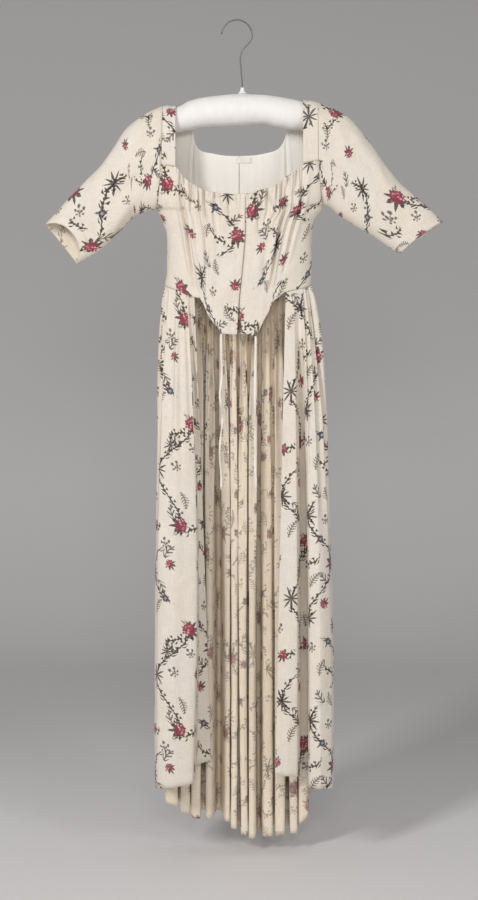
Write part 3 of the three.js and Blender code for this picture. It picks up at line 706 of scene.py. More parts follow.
ROSES = [
    on_branch(0, 87, 0, 10, 27), on_branch(0, 297, 0, 200, 26), on_branch(1, 134, 0, 150, 28),
    on_branch(1, 344, 0, 290, 26), (134, 44, 120, 18), (258, 112, 330, 18), (10, 196, 60, 18),
    (124, 266, 15, 19), (244, 334, 240, 18), (70, 8, 80, 17), (196, 262, 170, 16),
]
STARS = [
    on_branch(0, 192, 0, 15, 25), on_branch(0, 402, 0, 80, 24), on_branch(1, 29, 0, 50, 26),
    on_branch(1, 239, 0, 10, 25), (36, 378, 40, 21), (200, 82, 70, 19),
]
BLUES = [
    on_branch(0, 142, 0, 30, 15), on_branch(1, 190, 0, 70, 15), on_branch(0, 350, 0, 10, 15),
]
FERNS = [
    (92, 62, 40, 19), (20, 138, -35, 19), (80, 300, 20, 18), (128, 348, -60, 18),
    (226, 172, 30, 19), (166, 396, 160, 18), (56, 228, -20, 17), (12, 44, 60, 17),
]
BERRIES = [
    (112, 116, 20, 15), (206, 300, 60, 14), (98, 340, 10, 14), (254, 386, 45, 15), (184, 40, 5, 14),
    (60, 176, 70, 13), (150, 84, 30, 13),
]
SPRIGS = [
    on_branch(0, 60, 17, -40, 17), on_branch(0, 116, -17, 60, 16), on_branch(0, 238, 17, -30, 17),
    on_branch(1, 92, 18, -50, 18), on_branch(1, 288, -18, 40, 17), on_branch(1, 366, 17, -20, 16),
    on_branch(0, 330, -17, 50, 16), on_branch(1, 212, -17, 150, 16),
]
INK = tone("3C3130")
INK_SOFT = tone("564B4A")
STEM = tone("5E4F40")
PETAL = tone("C06E7C")
PETAL_DARK = tone("8A4250")
PETAL_PALE = tone("F2D6D2")
BLUE = tone("5A6076")
BLUE_PALE = tone("ACAEBA")
print("motifs in a repeat:", sum(len(kind) for kind in (ROSES, STARS, BLUES, FERNS, BERRIES, SPRIGS)))

# %% [markdown]
# Each motif is drawn from its own centre by distance and angle: petals and leaves are teeth of a wave
# round the centre. The results are masks, 1 inside the ink and 0 outside.

# %% Flowers


def draw_rose(art, place):
    """A round flower of curled petals with long pointed leaves on one side: masks of leaves and
    flower, and the flower's colour"""
    far, angle = art.polar(place)
    turn = art.sum("MULTIPLY", angle, TURN)
    lean = art.sum("MULTIPLY_ADD", art.sum("SINE", art.sum("ADD", angle, 0.7)), 0.34, 0.6)
    leaf = art.sum("MULTIPLY", art.teeth(turn, 9), lean)
    small = art.sum("POWER", art.teeth(turn, 13, 0.3), 1.5)
    reach = art.sum("MULTIPLY_ADD", small, 0.18, art.sum("MULTIPLY_ADD", leaf, 0.62, 0.3))
    leaves = art.under(far, reach)
    petals = art.sum("MULTIPLY_ADD", art.teeth(turn, 6, 0.2), 0.12, 0.4)
    flower = art.under(far, petals)
    cells = art.tree.nodes.new("ShaderNodeTexVoronoi")
    art.join(cells.inputs["Vector"], place)
    cells.inputs["Scale"].default_value = 4.2
    curl = art.sum("MULTIPLY_ADD", far, 0.35, cells.outputs["Distance"])
    shade = art.mix("RGBA", art.under(0.56, curl, 0.24), PETAL, PETAL_DARK)
    return leaves, flower, art.mix("RGBA", art.under(curl, 0.4, 0.18), shade, PETAL_PALE)


def draw_star(art, place):
    """A spiky leaf rosette"""
    far, angle = art.polar(place)
    turn = art.sum("MULTIPLY", angle, TURN)
    spikes = art.sum("POWER", art.teeth(turn, 9), 1.35)
    uneven = art.sum("MULTIPLY_ADD", art.sum("SINE", art.sum("MULTIPLY", angle, 2)), 0.18, 0.76)
    reach = art.sum("MULTIPLY_ADD", spikes, uneven, 0.14)
    return art.under(far, reach)


def draw_blue(art, place):
    """A small open blossom on a few leaves: masks of leaves and blossom, and its colour"""
    far, angle = art.polar(place)
    turn = art.sum("MULTIPLY", angle, TURN)
    petals = art.sum("MULTIPLY_ADD", art.teeth(turn, 5), 0.16, 0.36)
    flower = art.under(far, petals)
    inner = art.mix("RGBA", art.under(far, 0.33, 0.1), INK, BLUE)
    inner = art.mix("RGBA", art.under(far, 0.16, 0.1), inner, BLUE_PALE)
    lean = art.sum("MULTIPLY_ADD", art.sum("SINE", art.sum("ADD", angle, 2)), 0.35, 0.6)
    spikes = art.sum("MULTIPLY", art.sum("POWER", art.teeth(turn, 5, 0.4), 1.4), lean)
    return art.under(far, art.sum("MULTIPLY_ADD", spikes, 1.0, 0.16)), flower, inner


print("petal colours:", len((PETAL, PETAL_DARK, PETAL_PALE)))

# %% Leaves, berries and branches


def draw_frond(art, place, count, slant, breadth, share):
    """A stem with paired leaflets that slant forwards"""
    x, y = art.parts(place)
    bent = art.sum("MULTIPLY_ADD", art.sum("MULTIPLY", y, y), 0.22, x)
    side = art.sum("ABSOLUTE", bent)
    along = art.under(art.sum("ABSOLUTE", y), 0.96)
    stem = art.both(art.under(side, 0.07, 0.07), along)
    step = art.teeth(art.sum("MULTIPLY_ADD", side, -slant, y), count)
    length = art.sum("MULTIPLY_ADD", art.sum("ABSOLUTE", y), -breadth * 0.75, breadth)
    leaflets = art.both(art.under(1 - share, step, 0.25), art.under(side, length), along)
    return art.either(stem, leaflets)


def draw_berries(art, place):
    """Dots on hair-fine stems that spread to one side"""
    far, angle = art.polar(place)
    lean = art.sum("MULTIPLY_ADD", art.sum("SINE", art.sum("ADD", angle, 1)), -0.4, 1.25)
    far = art.sum("MULTIPLY", far, lean)
    masks = []
    for count, ring, dot in ((6, 0.72, 0.2), (3, 0.28, 0.17)):
        part = art.sum("FRACT", art.sum("MULTIPLY_ADD", angle, TURN * count, 0.5 + ring))
        around = art.sum("MULTIPLY", far, 2 * math.pi / count)
        arc = art.sum("MULTIPLY", art.sum("SUBTRACT", part, 0.5), around)
        out = art.sum("SUBTRACT", far, ring)
        near = art.sum("SQRT", art.sum("ADD", art.sum("MULTIPLY", arc, arc), art.sum("MULTIPLY", out, out)))
        masks.append(art.under(near, dot))
        masks.append(art.both(art.under(art.sum("ABSOLUTE", arc), 0.03, 0.05), art.under(far, ring)))
    return art.either(*masks)


def draw_branch(art, across, along, branch, length, width, present):
    """A long beaded branch with thorn-like buds, broken here and there"""
    turn = art.sum("MULTIPLY", along, 2 * math.pi / length)
    first = art.sum("SINE", art.sum("ADD", turn, branch["lean"]))
    other = art.sum("SINE", art.sum("MULTIPLY_ADD", turn, 2, branch["curl"]))
    line = art.sum("MULTIPLY_ADD", other, branch["second"], branch["middle"])
    line = art.sum("MULTIPLY_ADD", first, branch["swing"], line)
    offset = art.sum("WRAP", art.sum("SUBTRACT", across, line), width / 2, -width / 2)
    side = art.sum("ABSOLUTE", offset)
    bead = art.teeth(along, 1 / BEAD_LENGTH)
    thick = art.sum("MULTIPLY_ADD", bead, BEAD_SWELL, BEAD_CORE)
    wood = art.under(side, thick, 0.9)
    swap = art.sum("SIGN", art.sum("SINE", art.sum("MULTIPLY", along, 2 * math.pi / BUD_SIDES)))
    out = art.sum("MULTIPLY", offset, swap)
    bud = art.teeth(art.sum("MULTIPLY_ADD", out, -0.9, along), 1 / BUD_SPACING)
    buds = art.both(art.under(0.5, bud, 0.2), art.under(out, BUD_REACH, 1.0), art.under(0, out, 0.5))
    whole = art.under(-present, art.sum("SINE", art.sum("MULTIPLY_ADD", turn, 3, branch["lean"])), 0.2)
    return art.both(art.either(wood, buds), whole)


print("beads down a branch:", round(REPEAT[1] / BEAD_LENGTH))

# %% The print as one shared group


def make_print_group():
    """Lays the inks over the cloth one after another, then its threads, clouds and yellowing"""
    group = bpy.data.node_groups.new("trailing flower print", "ShaderNodeTree")
    for name, kind in (("Ink strength", "NodeSocketFloat"), ("Cloth", "NodeSocketColor")):
        group.interface.new_socket(name, in_out="INPUT", socket_type=kind)
    group.interface.new_socket("Colour", in_out="OUTPUT", socket_type="NodeSocketColor")
    group.interface.new_socket("Height", in_out="OUTPUT", socket_type="NodeSocketFloat")
    entry = group.nodes.new("NodeGroupInput")
    result = group.nodes.new("NodeGroupOutput")
    art = Drawing(group)
    flat = group.nodes.new("ShaderNodeUVMap")
    flat.uv_map = "flat_cloth"
    place = art.vector("SCALE", flat.outputs[0], scale=1000)

    wobble = group.nodes.new("ShaderNodeTexNoise")
    art.join(wobble.inputs["Vector"], place)
    wobble.inputs["Scale"].default_value = 0.28
    wobble.inputs["Detail"].default_value = 3
    shake = art.vector("SUBTRACT", wobble.outputs["Color"], (0.5, 0.5, 0.5))
    inked = art.vector("ADD", place, art.vector("SCALE", shake, scale=INK_WANDER))
    u, v = art.parts(inked)

    wide, long = REPEAT
    branches = [draw_branch(art, u, v, branch, long, wide, BRANCH_PRESENT) for branch in BRANCHES]
    branches += [draw_branch(art, v, u, branch, wide, long, CROSSING_PRESENT) for branch in CROSSINGS]
    leaves, rose, rose_colour = draw_rose(art, art.nearest(inked, ROSES, REPEAT))
    star = draw_star(art, art.nearest(inked, STARS, REPEAT))
    ruff, blue, blue_colour = draw_blue(art, art.nearest(inked, BLUES, REPEAT))
    fern = draw_frond(art, art.nearest(inked, FERNS, REPEAT), 3.4, 0.6, 0.5, 0.42)
    sprig = draw_frond(art, art.nearest(inked, SPRIGS, REPEAT), 1.5, 1.2, 0.66, 0.42)
    berries = draw_berries(art, art.nearest(inked, BERRIES, REPEAT))

    worn = art.sum("MULTIPLY_ADD", art.noise(place, 0.5, 3), 1.6, 0.24, clamp=True)
    strength = art.sum("MULTIPLY", entry.outputs["Ink strength"], worn)
    colour = entry.outputs["Cloth"]
    layers = [
        (fern, STEM, 0.85), (art.either(*branches), INK, 0.95), (berries, INK_SOFT, 0.9),
        (sprig, INK, 0.85), (star, INK, 0.92), (leaves, INK, 0.92), (ruff, INK_SOFT, 0.9),
        (blue, blue_colour, 0.95), (rose, rose_colour, 1.0),
    ]
    for mask, ink, cover in layers:
        factor = art.sum("MULTIPLY", art.sum("MULTIPLY", mask, cover), strength)
        colour = art.mix("RGBA", factor, colour, ink)

    weft = art.noise(place, 1.0, 2, (0.05, 0.9, 1))
    warp = art.noise(place, 1.0, 2, (0.8, 0.04, 1))
    slub = art.sum("MULTIPLY_ADD", art.sum("ADD", weft, warp), 0.34, 0.66)
    cloud = art.sum("MULTIPLY_ADD", art.noise(place, 0.02, 2), 0.12, 0.94)
    colour = art.vector("MULTIPLY", colour, art.sum("MULTIPLY", slub, cloud))
    aged = art.sum("MULTIPLY_ADD", art.noise(place, 0.008, 3), 2.2, -0.7, clamp=True)
    fresh, yellowed = (1.0, 0.99, 0.985, 1), (1.0, 0.975, 0.9, 1)
    colour = art.vector("MULTIPLY", colour, art.mix("RGBA", aged, fresh, yellowed))
    art.join(result.inputs["Colour"], colour)
    threads = art.sum("ADD", art.teeth(u, 1.3), art.teeth(v, 1.3))
    height = art.sum("MULTIPLY_ADD", threads, 0.25, slub)
    art.join(result.inputs["Height"], height)
    return group


print_group = make_print_group()
print("print nodes:", len(print_group.nodes))

# %% [markdown]
# The right side of the cloth shows the print at full strength. The wrong side is the same cloth seen from
# behind, where the ink has only partly come through, so it takes the same drawing with less ink, on a warmer
# and paler cloth tone that is painted light: the warm light bounced inside the folds.
# Linen, tape and the hanger's cover are plain weaves, drawn with fine crossed threads.

# %% Finishes


def new_material(name, **fixed):
    """A material, its node tree and its shader, with the shader's fixed values"""
    material = bpy.data.materials.new(name)
    material.use_nodes = True
    shader = material.node_tree.nodes["Principled BSDF"]
    for socket, value in fixed.items():
        shader.inputs[socket.replace("_", " ")].default_value = value
    return material, material.node_tree, shader


def add_bump(tree, shader, height, strength, depth):
    bump = tree.nodes.new("ShaderNodeBump")
    bump.inputs["Strength"].default_value = strength
    bump.inputs["Distance"].default_value = depth
    tree.links.new(height, bump.inputs["Height"])
    tree.links.new(bump.outputs["Normal"], shader.inputs["Normal"])


def printed_cotton(name, strength, cloth):
    """The printed cloth, on its flat places"""
    material, tree, shader = new_material(
        name, Roughness=0.88, Specular_IOR_Level=0.18, Sheen_Weight=0.12, Sheen_Roughness=0.5
    )
    pattern = tree.nodes.new("ShaderNodeGroup")
    pattern.node_tree = print_group
    pattern.inputs["Ink strength"].default_value = strength
    pattern.inputs["Cloth"].default_value = tone(cloth)
    tree.links.new(pattern.outputs["Colour"], shader.inputs["Base Color"])
    add_bump(tree, shader, pattern.outputs["Height"], 0.35, 0.0004)
    return material


def plain_weave(name, cloth, shade, threads=1.1):
    """Plain woven cloth on object coordinates, with threads a millimetre or so wide"""
    material, tree, shader = new_material(name, Roughness=0.9, Specular_IOR_Level=0.18, Sheen_Weight=0.15)
    art = Drawing(tree)
    where = tree.nodes.new("ShaderNodeTexCoord")
    place = art.vector("SCALE", where.outputs["Object"], scale=1000)
    across, up = art.parts(place, (0, 2))
    weave = art.sum("ADD", art.teeth(across, threads), art.teeth(up, threads))
    streak = art.noise(place, 0.12, 3, (1, 1, 0.15))
    lit = art.sum("MULTIPLY_ADD", streak, 1.6, -0.4, clamp=True)
    art.join(shader.inputs["Base Color"], art.mix("RGBA", lit, tone(shade), tone(cloth)))
    add_bump(tree, shader, art.sum("MULTIPLY_ADD", weave, 0.3, streak), 0.4, 0.0003)
    return material


def drawn_wire(name):
    """Dull drawn wire, rubbed brighter in places"""
    material, tree, shader = new_material(name, Metallic=1)
    art = Drawing(tree)
    where = tree.nodes.new("ShaderNodeTexCoord")
    wear = art.noise(where.outputs["Object"], 240, 4)
    art.join(shader.inputs["Base Color"], art.mix("RGBA", wear, tone("4C4E50"), tone("85888A")))
    art.join(shader.inputs["Roughness"], art.sum("MULTIPLY_ADD", wear, 0.3, 0.22))
    return material


cotton = printed_cotton("printed cotton, right side", 1.0, "E4DCD1")
# Painted light: the wrong side's cloth tone is warmer and paler than the right side's, standing in for warm
# light bounced inside the folds; its half-strength ink is the print coming through
wrong_side_with_painted_warmth = printed_cotton("printed cotton, wrong side, painted warm light", 0.5, "EDE2D0")
linen = plain_weave("plain linen", "FCF9F2", "F5F0E5")
tape = plain_weave("woven tape", "FBF9F3", "E6E0D2", threads=2.0)
cover = plain_weave("hanger cover", "F6F4F0", "EDEAE4", threads=1.6)
thread = plain_weave("sewing thread", "D9CFB8", "C5B999", threads=2.5)
steel = drawn_wire("drawn wire")
print("materials:", len(bpy.data.materials))

# %% [markdown]
# Twelve pieces are cut from the printed cloth. Each is a grid that has its creases, laid on its own
# part of the print. What later steps need for stitches and sizes is kept with it.

# %% A piece of the printed cloth


def weld(piece):
    """Joins the two edges of a seam that lie on each other"""
    builder = bmesh.new()
    builder.from_mesh(piece.data)
    bmesh.ops.remove_doubles(builder, verts=builder.verts, dist=0.01 * MM)
    builder.to_mesh(piece.data)
    builder.free()


def printed_piece(name, node, grid, places, sign, laid=None, face_u=None, tube=False):
    """places are u and v on the flat cloth; laid are those that the print follows, if they differ"""
    u, v = places
    laid_u, laid_v = laid or places
    cut_u, cut_v = PRINT_START[name]
    if face_u:
        face_u = tuple(strip + cut_u for strip in face_u)
    own_name = name + "_cloth" if name == node else name
    piece = make_cloth(own_name, grid, laid_u + cut_u, laid_v + cut_v, turned=sign > 0, face_u=face_u)
    if tube:
        weld(piece)
    dress(piece, node, CLOTH, (cotton, wrong_side_with_painted_warmth))
    return {"piece": piece, "grid": grid, "u": u, "v": v, "sign": sign}


print("pieces of the printed cloth:", len(PRINT_START))

# %% [markdown]
# Two long tapes hang free from the corners of the fronts' points. They once tied the fronts across a
# petticoat. Each is a flat woven tape, four and a half millimetres wide, that turns a little as it hangs and
# frays at its end. They are ribbons swept along a given route.

# %% Ribbons and wires


def smooth_route(points, count):
    """Evenly spaced places on a smooth curve through the points, in millimetres"""
    points = np.array(points, float)
    gaps = np.linalg.norm(np.diff(points, axis=0), axis=1)
    keys = np.concatenate([[0], np.cumsum(gaps)])
    tangent = np.gradient(points, keys, axis=0)
    at = np.linspace(0, keys[-1], count)
    row = np.clip(np.searchsorted(keys, at, side="right") - 1, 0, len(keys) - 2)
    step = (keys[row + 1] - keys[row])[:, None]
    u = (at - keys[row])[:, None] / step
    return hermite(points[row], points[row + 1], step * tangent[row], step * tangent[row + 1], u)


def add_rings(builder, rings):
    """Adds a skin over rings of points given in millimetres, with a face over each end"""
    rings = [[builder.verts.new(Vector(point * MM)) for point in ring] for ring in rings]
    for ring, following in zip(rings[:-1], rings[1:]):
        for step in range(len(ring)):
            after = (step + 1) % len(ring)
            builder.faces.new((ring[step], ring[after], following[after], following[step]))
    builder.faces.new(rings[0][::-1])
    builder.faces.new(rings[-1])


def sweep(builder, route, widths, depths, turns, sides):
    """Adds a closed tube of oval section along a route; turns is its twist at each place"""
    tangent = np.gradient(route, axis=0)
    tangent /= np.linalg.norm(tangent, axis=1, keepdims=True)
    side = np.cross(tangent, np.array((0, 1, 0), float))
    side /= np.linalg.norm(side, axis=1, keepdims=True)
    other = np.cross(side, tangent)
    cos, sin = np.cos(turns)[:, None], np.sin(turns)[:, None]
    side, other = side * cos + other * sin, other * cos - side * sin
    angle = np.arange(sides) / sides * 2 * np.pi
    add_rings(builder, [
        route[at]
        + np.outer(power(np.cos(angle), 0.8), side[at]) * widths[at] / 2
        + np.outer(power(np.sin(angle), 0.8), other[at]) * depths[at] / 2
        for at in range(len(route))
    ])


def finish_mesh(name, builder, material):
    """Turns a built skin into a smooth-shaded object with its faces outwards"""
    bmesh.ops.recalc_face_normals(builder, faces=builder.faces)
    mesh = bpy.data.meshes.new(name)
    builder.to_mesh(mesh)
    builder.free()
    mesh.polygons.foreach_set("use_smooth", np.ones(len(mesh.polygons), bool))
    mesh.materials.append(material)
    return add_object(name, mesh)


print("wire radius", WIRE_RADIUS, "mm")

# %% The two ties
TIE_RINGS = 90
TIE_SIDES = 10
# Loose threads at a tie's end, their thickness and the places along each
FRAY = 7
FRAY_THREAD = (0.35, 0.3)
FRAY_STEPS = 5
# How far each tape has turned, in degrees, by how far down it hangs
TIE_TURNS = {
    "tie_right": [(0, 0), (0.2, 24), (0.38, -30), (0.5, 60), (0.62, -55), (0.8, 40), (1, 5)],
    "tie_left": [(0, 4), (0.3, -20), (0.55, 40), (0.75, -38), (1, 30)],
}


def make_tie(node, route, seed):
    points = smooth_route([(x, TIE_PLANE, z) for x, z in route], TIE_RINGS)
    down, turned = np.array(TIE_TURNS[node], float).T
    turns = np.radians(smooth(down, turned, np.linspace(0, 1, TIE_RINGS)))
    widths = np.full(TIE_RINGS, TIE_WIDTH)
    widths[:2] *= 0.9
    depths = np.full(TIE_RINGS, TIE_THICKNESS)
    draw = np.random.default_rng(seed)
    builder = bmesh.new()
    sweep(builder, points, widths, depths, turns, TIE_SIDES)
    piece = finish_mesh(node + "_tape", builder, tape)
    ends = bmesh.new()
    for strand in range(FRAY):
        aside = (strand / (FRAY - 1) - 0.5) * TIE_WIDTH * 0.8
        start = points[-1] + (aside, 0, 1)
        reach = draw.uniform(4, 9)
        swing = draw.uniform(-2, 2, 2)
        way = np.linspace(0, 1, FRAY_STEPS)[:, None]
        loose = start + np.hstack([swing[0] * way * way, swing[1] * 0.5 * way * way, -reach * way])
        thick, thin = (np.full(FRAY_STEPS, size) for size in FRAY_THREAD)
        sweep(ends, loose, thick, thin, np.zeros(FRAY_STEPS), 5)
    frayed = finish_mesh(node + "_frayed_end", ends, tape)
    settle(piece, node)
    settle(frayed)
    length = float(np.linalg.norm(np.diff(points, axis=0), axis=1).sum())
    print(node, "length", round(length), "mm")


make_tie("tie_right", TIE_RIGHT, 3)
make_tie("tie_left", TIE_LEFT, 4)

# %% [markdown]
# The bodice lies flat on the hanger as a rounded oval, deepest at the middle and closing to the
# armholes at the shoulders. One function says how far front or back stands from the side line at any
# height, and every panel of the bodice is laid on it.

# %% The body's form


def outline(z):
    """Middle and half width of the body at a height"""
    right = smooth(BODY["z"], BODY["right"], z)
    left = smooth(BODY["z"], BODY["left"], z)
    return (right + left) / 2, (left - right) / 2


def armhole(z, centre):
    """Half depth of an armhole at a height"""
    rise = np.minimum(np.abs(z - centre) / (ARMHOLE_HEIGHT / 2), 1)
    return ARMHOLE_DEPTH / 2 * (1 - rise**ROUND) ** (1 / ROUND)


def body_y(x, z, face):
    """How far front or back the bodice stands at a place seen from the front"""
    middle, half = outline(z)
    reach = np.minimum(np.abs(x - middle) / half, 1)
    opening = np.where(
        x < middle, armhole(z, SHOULDER["right"]["centre"]), armhole(z, SHOULDER["left"]["centre"])
    )
    fullness = ease((SHOULDER_LEVEL - z) / (SHOULDER_LEVEL - FULL_LEVEL))
    depth = mix(opening, smooth(BODY["z"], BODY[face], z), fullness)
    y = opening + (depth - opening) * (1 - reach**ROUND) ** (1 / ROUND)
    return -y if face == "front" else y


def panel(rows, places, count):
    """x and z of a body panel's grid, from its table"""
    t = np.linspace(0, 1, count)[:, None]
    place = places[None, :]
    top_x, top_z = by_place(rows, "topX topZ", place)
    low_x, low_z = by_place(rows, "lowX lowZ", place, straight)
    z = mix(top_z, low_z, t)
    top_middle, top_half = outline(top_z)
    low_middle, low_half = outline(low_z)
    middle, half = outline(z)
    reach = mix((top_x - top_middle) / top_half, (low_x - low_middle) / low_half, t)
    reach = np.clip(reach, -1, 1)
    if places[-1] == len(rows["topX"]) - 1:
        reach[:, -1] = np.sign(rows["lowX"][-1])
    return middle + half * reach, z


def stack(x, y, z):
    return np.stack([x, y, z], axis=2)


def trim(grid, distance, first=False, last=True):
    """Moves a grid's outer columns a little back from the seams they share with the next pieces"""
    for wanted, edge, inner in ((last, -1, -2), (first, 0, 1)):
        if wanted:
            away = grid[:, inner] - grid[:, edge]
            away /= np.linalg.norm(away, axis=1, keepdims=True)
            grid[:, edge] += away * distance
    return grid


def push(grid, height, sign, closed=False):
    """Moves each point of a grid out of the cloth by its height"""
    return grid + normals(grid, closed) * (height * sign)[..., None]


print("waist width", round(float(2 * outline(np.array(float(WAIST_LEVEL)))[1])), "mm")

# %% [markdown]
# Each front is one shaped panel. Its neck edge is a casing with a thread drawn through it, which makes
# nine uneven gathers that run down as soft folds, and longer folds fall from the shoulder. The
# centre-front edge is turned back and stitched fourteen millimetres in.

# %% The two fronts
FRONT_ROWS = 90
GATHER_COLUMNS = 12
PLAIN_COLUMNS = 24
# The casing's stitching lies this far below the neck edge
CASING = 9
PUCKER = 1.7
PUCKERS_A_GATHER = 2
# Depth of the valley in a gather's middle, and its breadth as a share of the gather
GATHER_VALLEY = 4.6
GATHER_WIDTH = 0.16
# Width of the turned-back centre edge
FRONT_HEM = 14
# The folds flatten over this length above the lower edge
LOW_FADE = 30
# How far the left front's edge lies under the right front's
EDGE_DROP = 3
# How strong each gather is, from the centre edge out, and how far it runs down
GATHER_STRENGTH = table(
    "strength length",
    (1.2, 70), (1.7, 110), (1.1, 60), (1.9, 140), (1.3, 95),
    (2.3, 170), (1.5, 80), (2.1, 120), (1.2, 60), (0.6, 40),
)
# Soft folds of each front on the flat cloth: u from the centre edge and v from the top, both ends,
# then height and breadth
FRONT_FOLDS = {
    "right": [
        (143, 2, 121, 236, -11, 5), (134, 6, 110, 236, 5.5, 6), (153, 8, 133, 220, 4.5, 6),
        (84, 4, 80, 232, -5, 7), (96, 6, 94, 200, 3.5, 8), (70, 6, 64, 150, 3.4, 6),
        (58, 3, 52, 110, -4.6, 4.5), (46, 4, 42, 100, 3.2, 5), (30, 4, 28, 80, -3.4, 4.5),
        (112, 4, 108, 90, -4, 4.5), (122, 4, 116, 120, 3.4, 5), (40, 120, 60, 262, -3, 11),
        (20, 150, 40, 262, 2.4, 12), (150, 150, 134, 228, -3, 6),
    ],
    "left": [
        (41, 2, 60, 62, -8, 4), (62, 8, 74, 90, 6.5, 8), (92, 2, 84, 220, -10.5, 5),
        (101, 4, 96, 220, 5.5, 6), (80, 40, 72, 200, 4, 7), (26, 3, 30, 90, -4.5, 4.5),
        (18, 4, 20, 80, 3, 5), (112, 4, 108, 120, -4.4, 4.5), (134, 4, 127, 205, -7.5, 5),
        (124, 6, 118, 200, 4, 6), (146, 10, 136, 190, 3.5, 6), (52, 90, 44, 262, -3, 11),
        (30, 140, 56, 262, 2.6, 12),
    ],
}


def make_front(side):
    rows = FRONT[side]
    sign = 1 if side == "right" else -1
    last = len(rows["topX"]) - 1
    fine = np.linspace(0, GATHERS, GATHERS * GATHER_COLUMNS + 1)
    places = np.concatenate([fine, np.linspace(GATHERS, last, PLAIN_COLUMNS + 1)[1:]])
    x, z = panel(rows, places, FRONT_ROWS)
    edge = smooth(CENTRE_FRONT["z"], CENTRE_FRONT[side], z[:, :1])
    x = x + (edge - x[:, :1]) * np.clip(1 - places / GATHERS, 0, 1) ** 2
    grid = stack(x, body_y(x, z, "front"), z)
    u, v = flat_places(grid)
    strength, length = by_place(GATHER_STRENGTH, "strength length", places)
    fade = ease(1 - v / length) * ease(places) * ease(GATHERS + 0.5 - places)
    wander = 0.16 * np.sin(places * 2.3 + v / 34)
    across = (places + wander) % 1 - 0.5
    drawn = (0.8 - GATHER_VALLEY * ridge(across, GATHER_WIDTH)) * fade * strength
    drawn += PUCKER * np.cos(2 * np.pi * PUCKERS_A_GATHER * places) * ease(1 - v / 30) * ease(places * 2)
    folds = crease(u, v, FRONT_FOLDS[side])
    low = ease((v[-1:] - v) / LOW_FADE)
    height = drawn + folds * (0.25 + 0.75 * low) + 0.5 * rumple(u, v, 60, 11)
    height += 0.35 * (ridge(v - CASING, 1.4) * -1 + ease((CASING - v) / 2))
    if side == "right":
        height += 0.3 * ease((FRONT_HEM - u) / 1.2) - 0.35 * ridge(u - FRONT_HEM, 1.3)
        height *= ease(u / 6) * 0.8 + 0.2
    else:
        height -= EDGE_DROP * ridge(u, 5) * ease((v[-1:] - v) / 12) * ease(v / 12)
    grid = trim(push(grid, height, sign), GAP / 2)
    return printed_piece("front_" + side, "bodice_front_" + side, grid, (u, v), sign)


fronts = {side: make_front(side) for side in ("right", "left")}
print("fronts:", [round(cloth_area(front["grid"]), 4) for front in fronts.values()], "square metres")

# %% [markdown]
# The back is cut in two halves, with a seam down the middle that comes to a low point at the waist.
# Plain linen lines it and shows behind the neck opening. The lining is the back's own grid moved in,
# so the two can't cross.

# %% The back and its lining
BACK_ROWS = 80
BACK_COLUMNS = 9
# The lining stops this many rows short of the waist
LINING_END = -3
BACK_FOLDS = {
    "right": [
        (96, 4, 90, 110, -3.0, 5), (108, 4, 104, 130, 2.6, 6), (120, 6, 118, 150, -2.6, 5),
        (40, 150, 52, 300, -1.6, 12), (80, 120, 96, 290, 1.6, 12), (16, 60, 22, 250, 1.0, 10),
    ],
    "left": [
        (98, 4, 92, 120, -3.0, 5), (110, 4, 107, 120, 2.6, 6), (124, 6, 120, 160, -2.4, 5),
        (36, 120, 50, 300, -1.4, 12), (84, 150, 92, 290, 1.6, 10), (20, 90, 18, 260, 1.0, 10),
    ],
}


def make_back(side):
    rows = BACK[side]
    sign = -1 if side == "right" else 1
    last = len(rows["topX"]) - 1
    places = np.linspace(0, last, last * BACK_COLUMNS + 1)
    x, z = panel(rows, places, BACK_ROWS)
    x[:, 0] = CENTRE_BACK + sign * GAP / 2
    grid = stack(x, body_y(x, z, "back"), z)
    u, v = flat_places(grid)
    seam = -0.5 * ridge(u, 2.5)
    height = crease(u, v, BACK_FOLDS[side]) * 0.6 + 0.4 * rumple(u, v, 55, 12) + seam
    outer = trim(push(grid, height, sign), GAP / 2)
    back = printed_piece("back_" + side, "bodice_back_" + side, outer, (u, v), sign)
    cols = (last - 2) * BACK_COLUMNS + 1
    inside = push(outer, np.full_like(u, -LINING_OFFSET), sign)[:LINING_END, :cols]
    lining_u, lining_v = u[:LINING_END, :cols], v[:LINING_END, :cols]
    lining = make_cloth("lining_" + side, inside, lining_u, lining_v, turned=sign > 0)
    dress(lining, "lining_back_" + side, LINING, (linen,))
    size = (float(lining_u[:, -1].max()) * MM, float(v[:LINING_END].max()) * MM)
    return back | {"lining": lining, "inside": inside, "lining_size": size}


backs = {side: make_back(side) for side in ("right", "left")}
print("back halves:", [round(cloth_area(back["grid"]), 4) for back in backs.values()], "square metres")

# %% [markdown]
# A strap joins each front to the back over the padded bar. Its outer edge is the top of the armhole,
# so it follows the same rounded arch.

# %% The shoulder straps
STRAP_ROWS = 60
STRAP_COLUMNS = 22
STRAP_FOLDS = [(8, 60, 10, 190, -1.0, 4), (18, 90, 16, 230, 0.9, 5), (30, 120, 28, 235, -0.9, 4)]


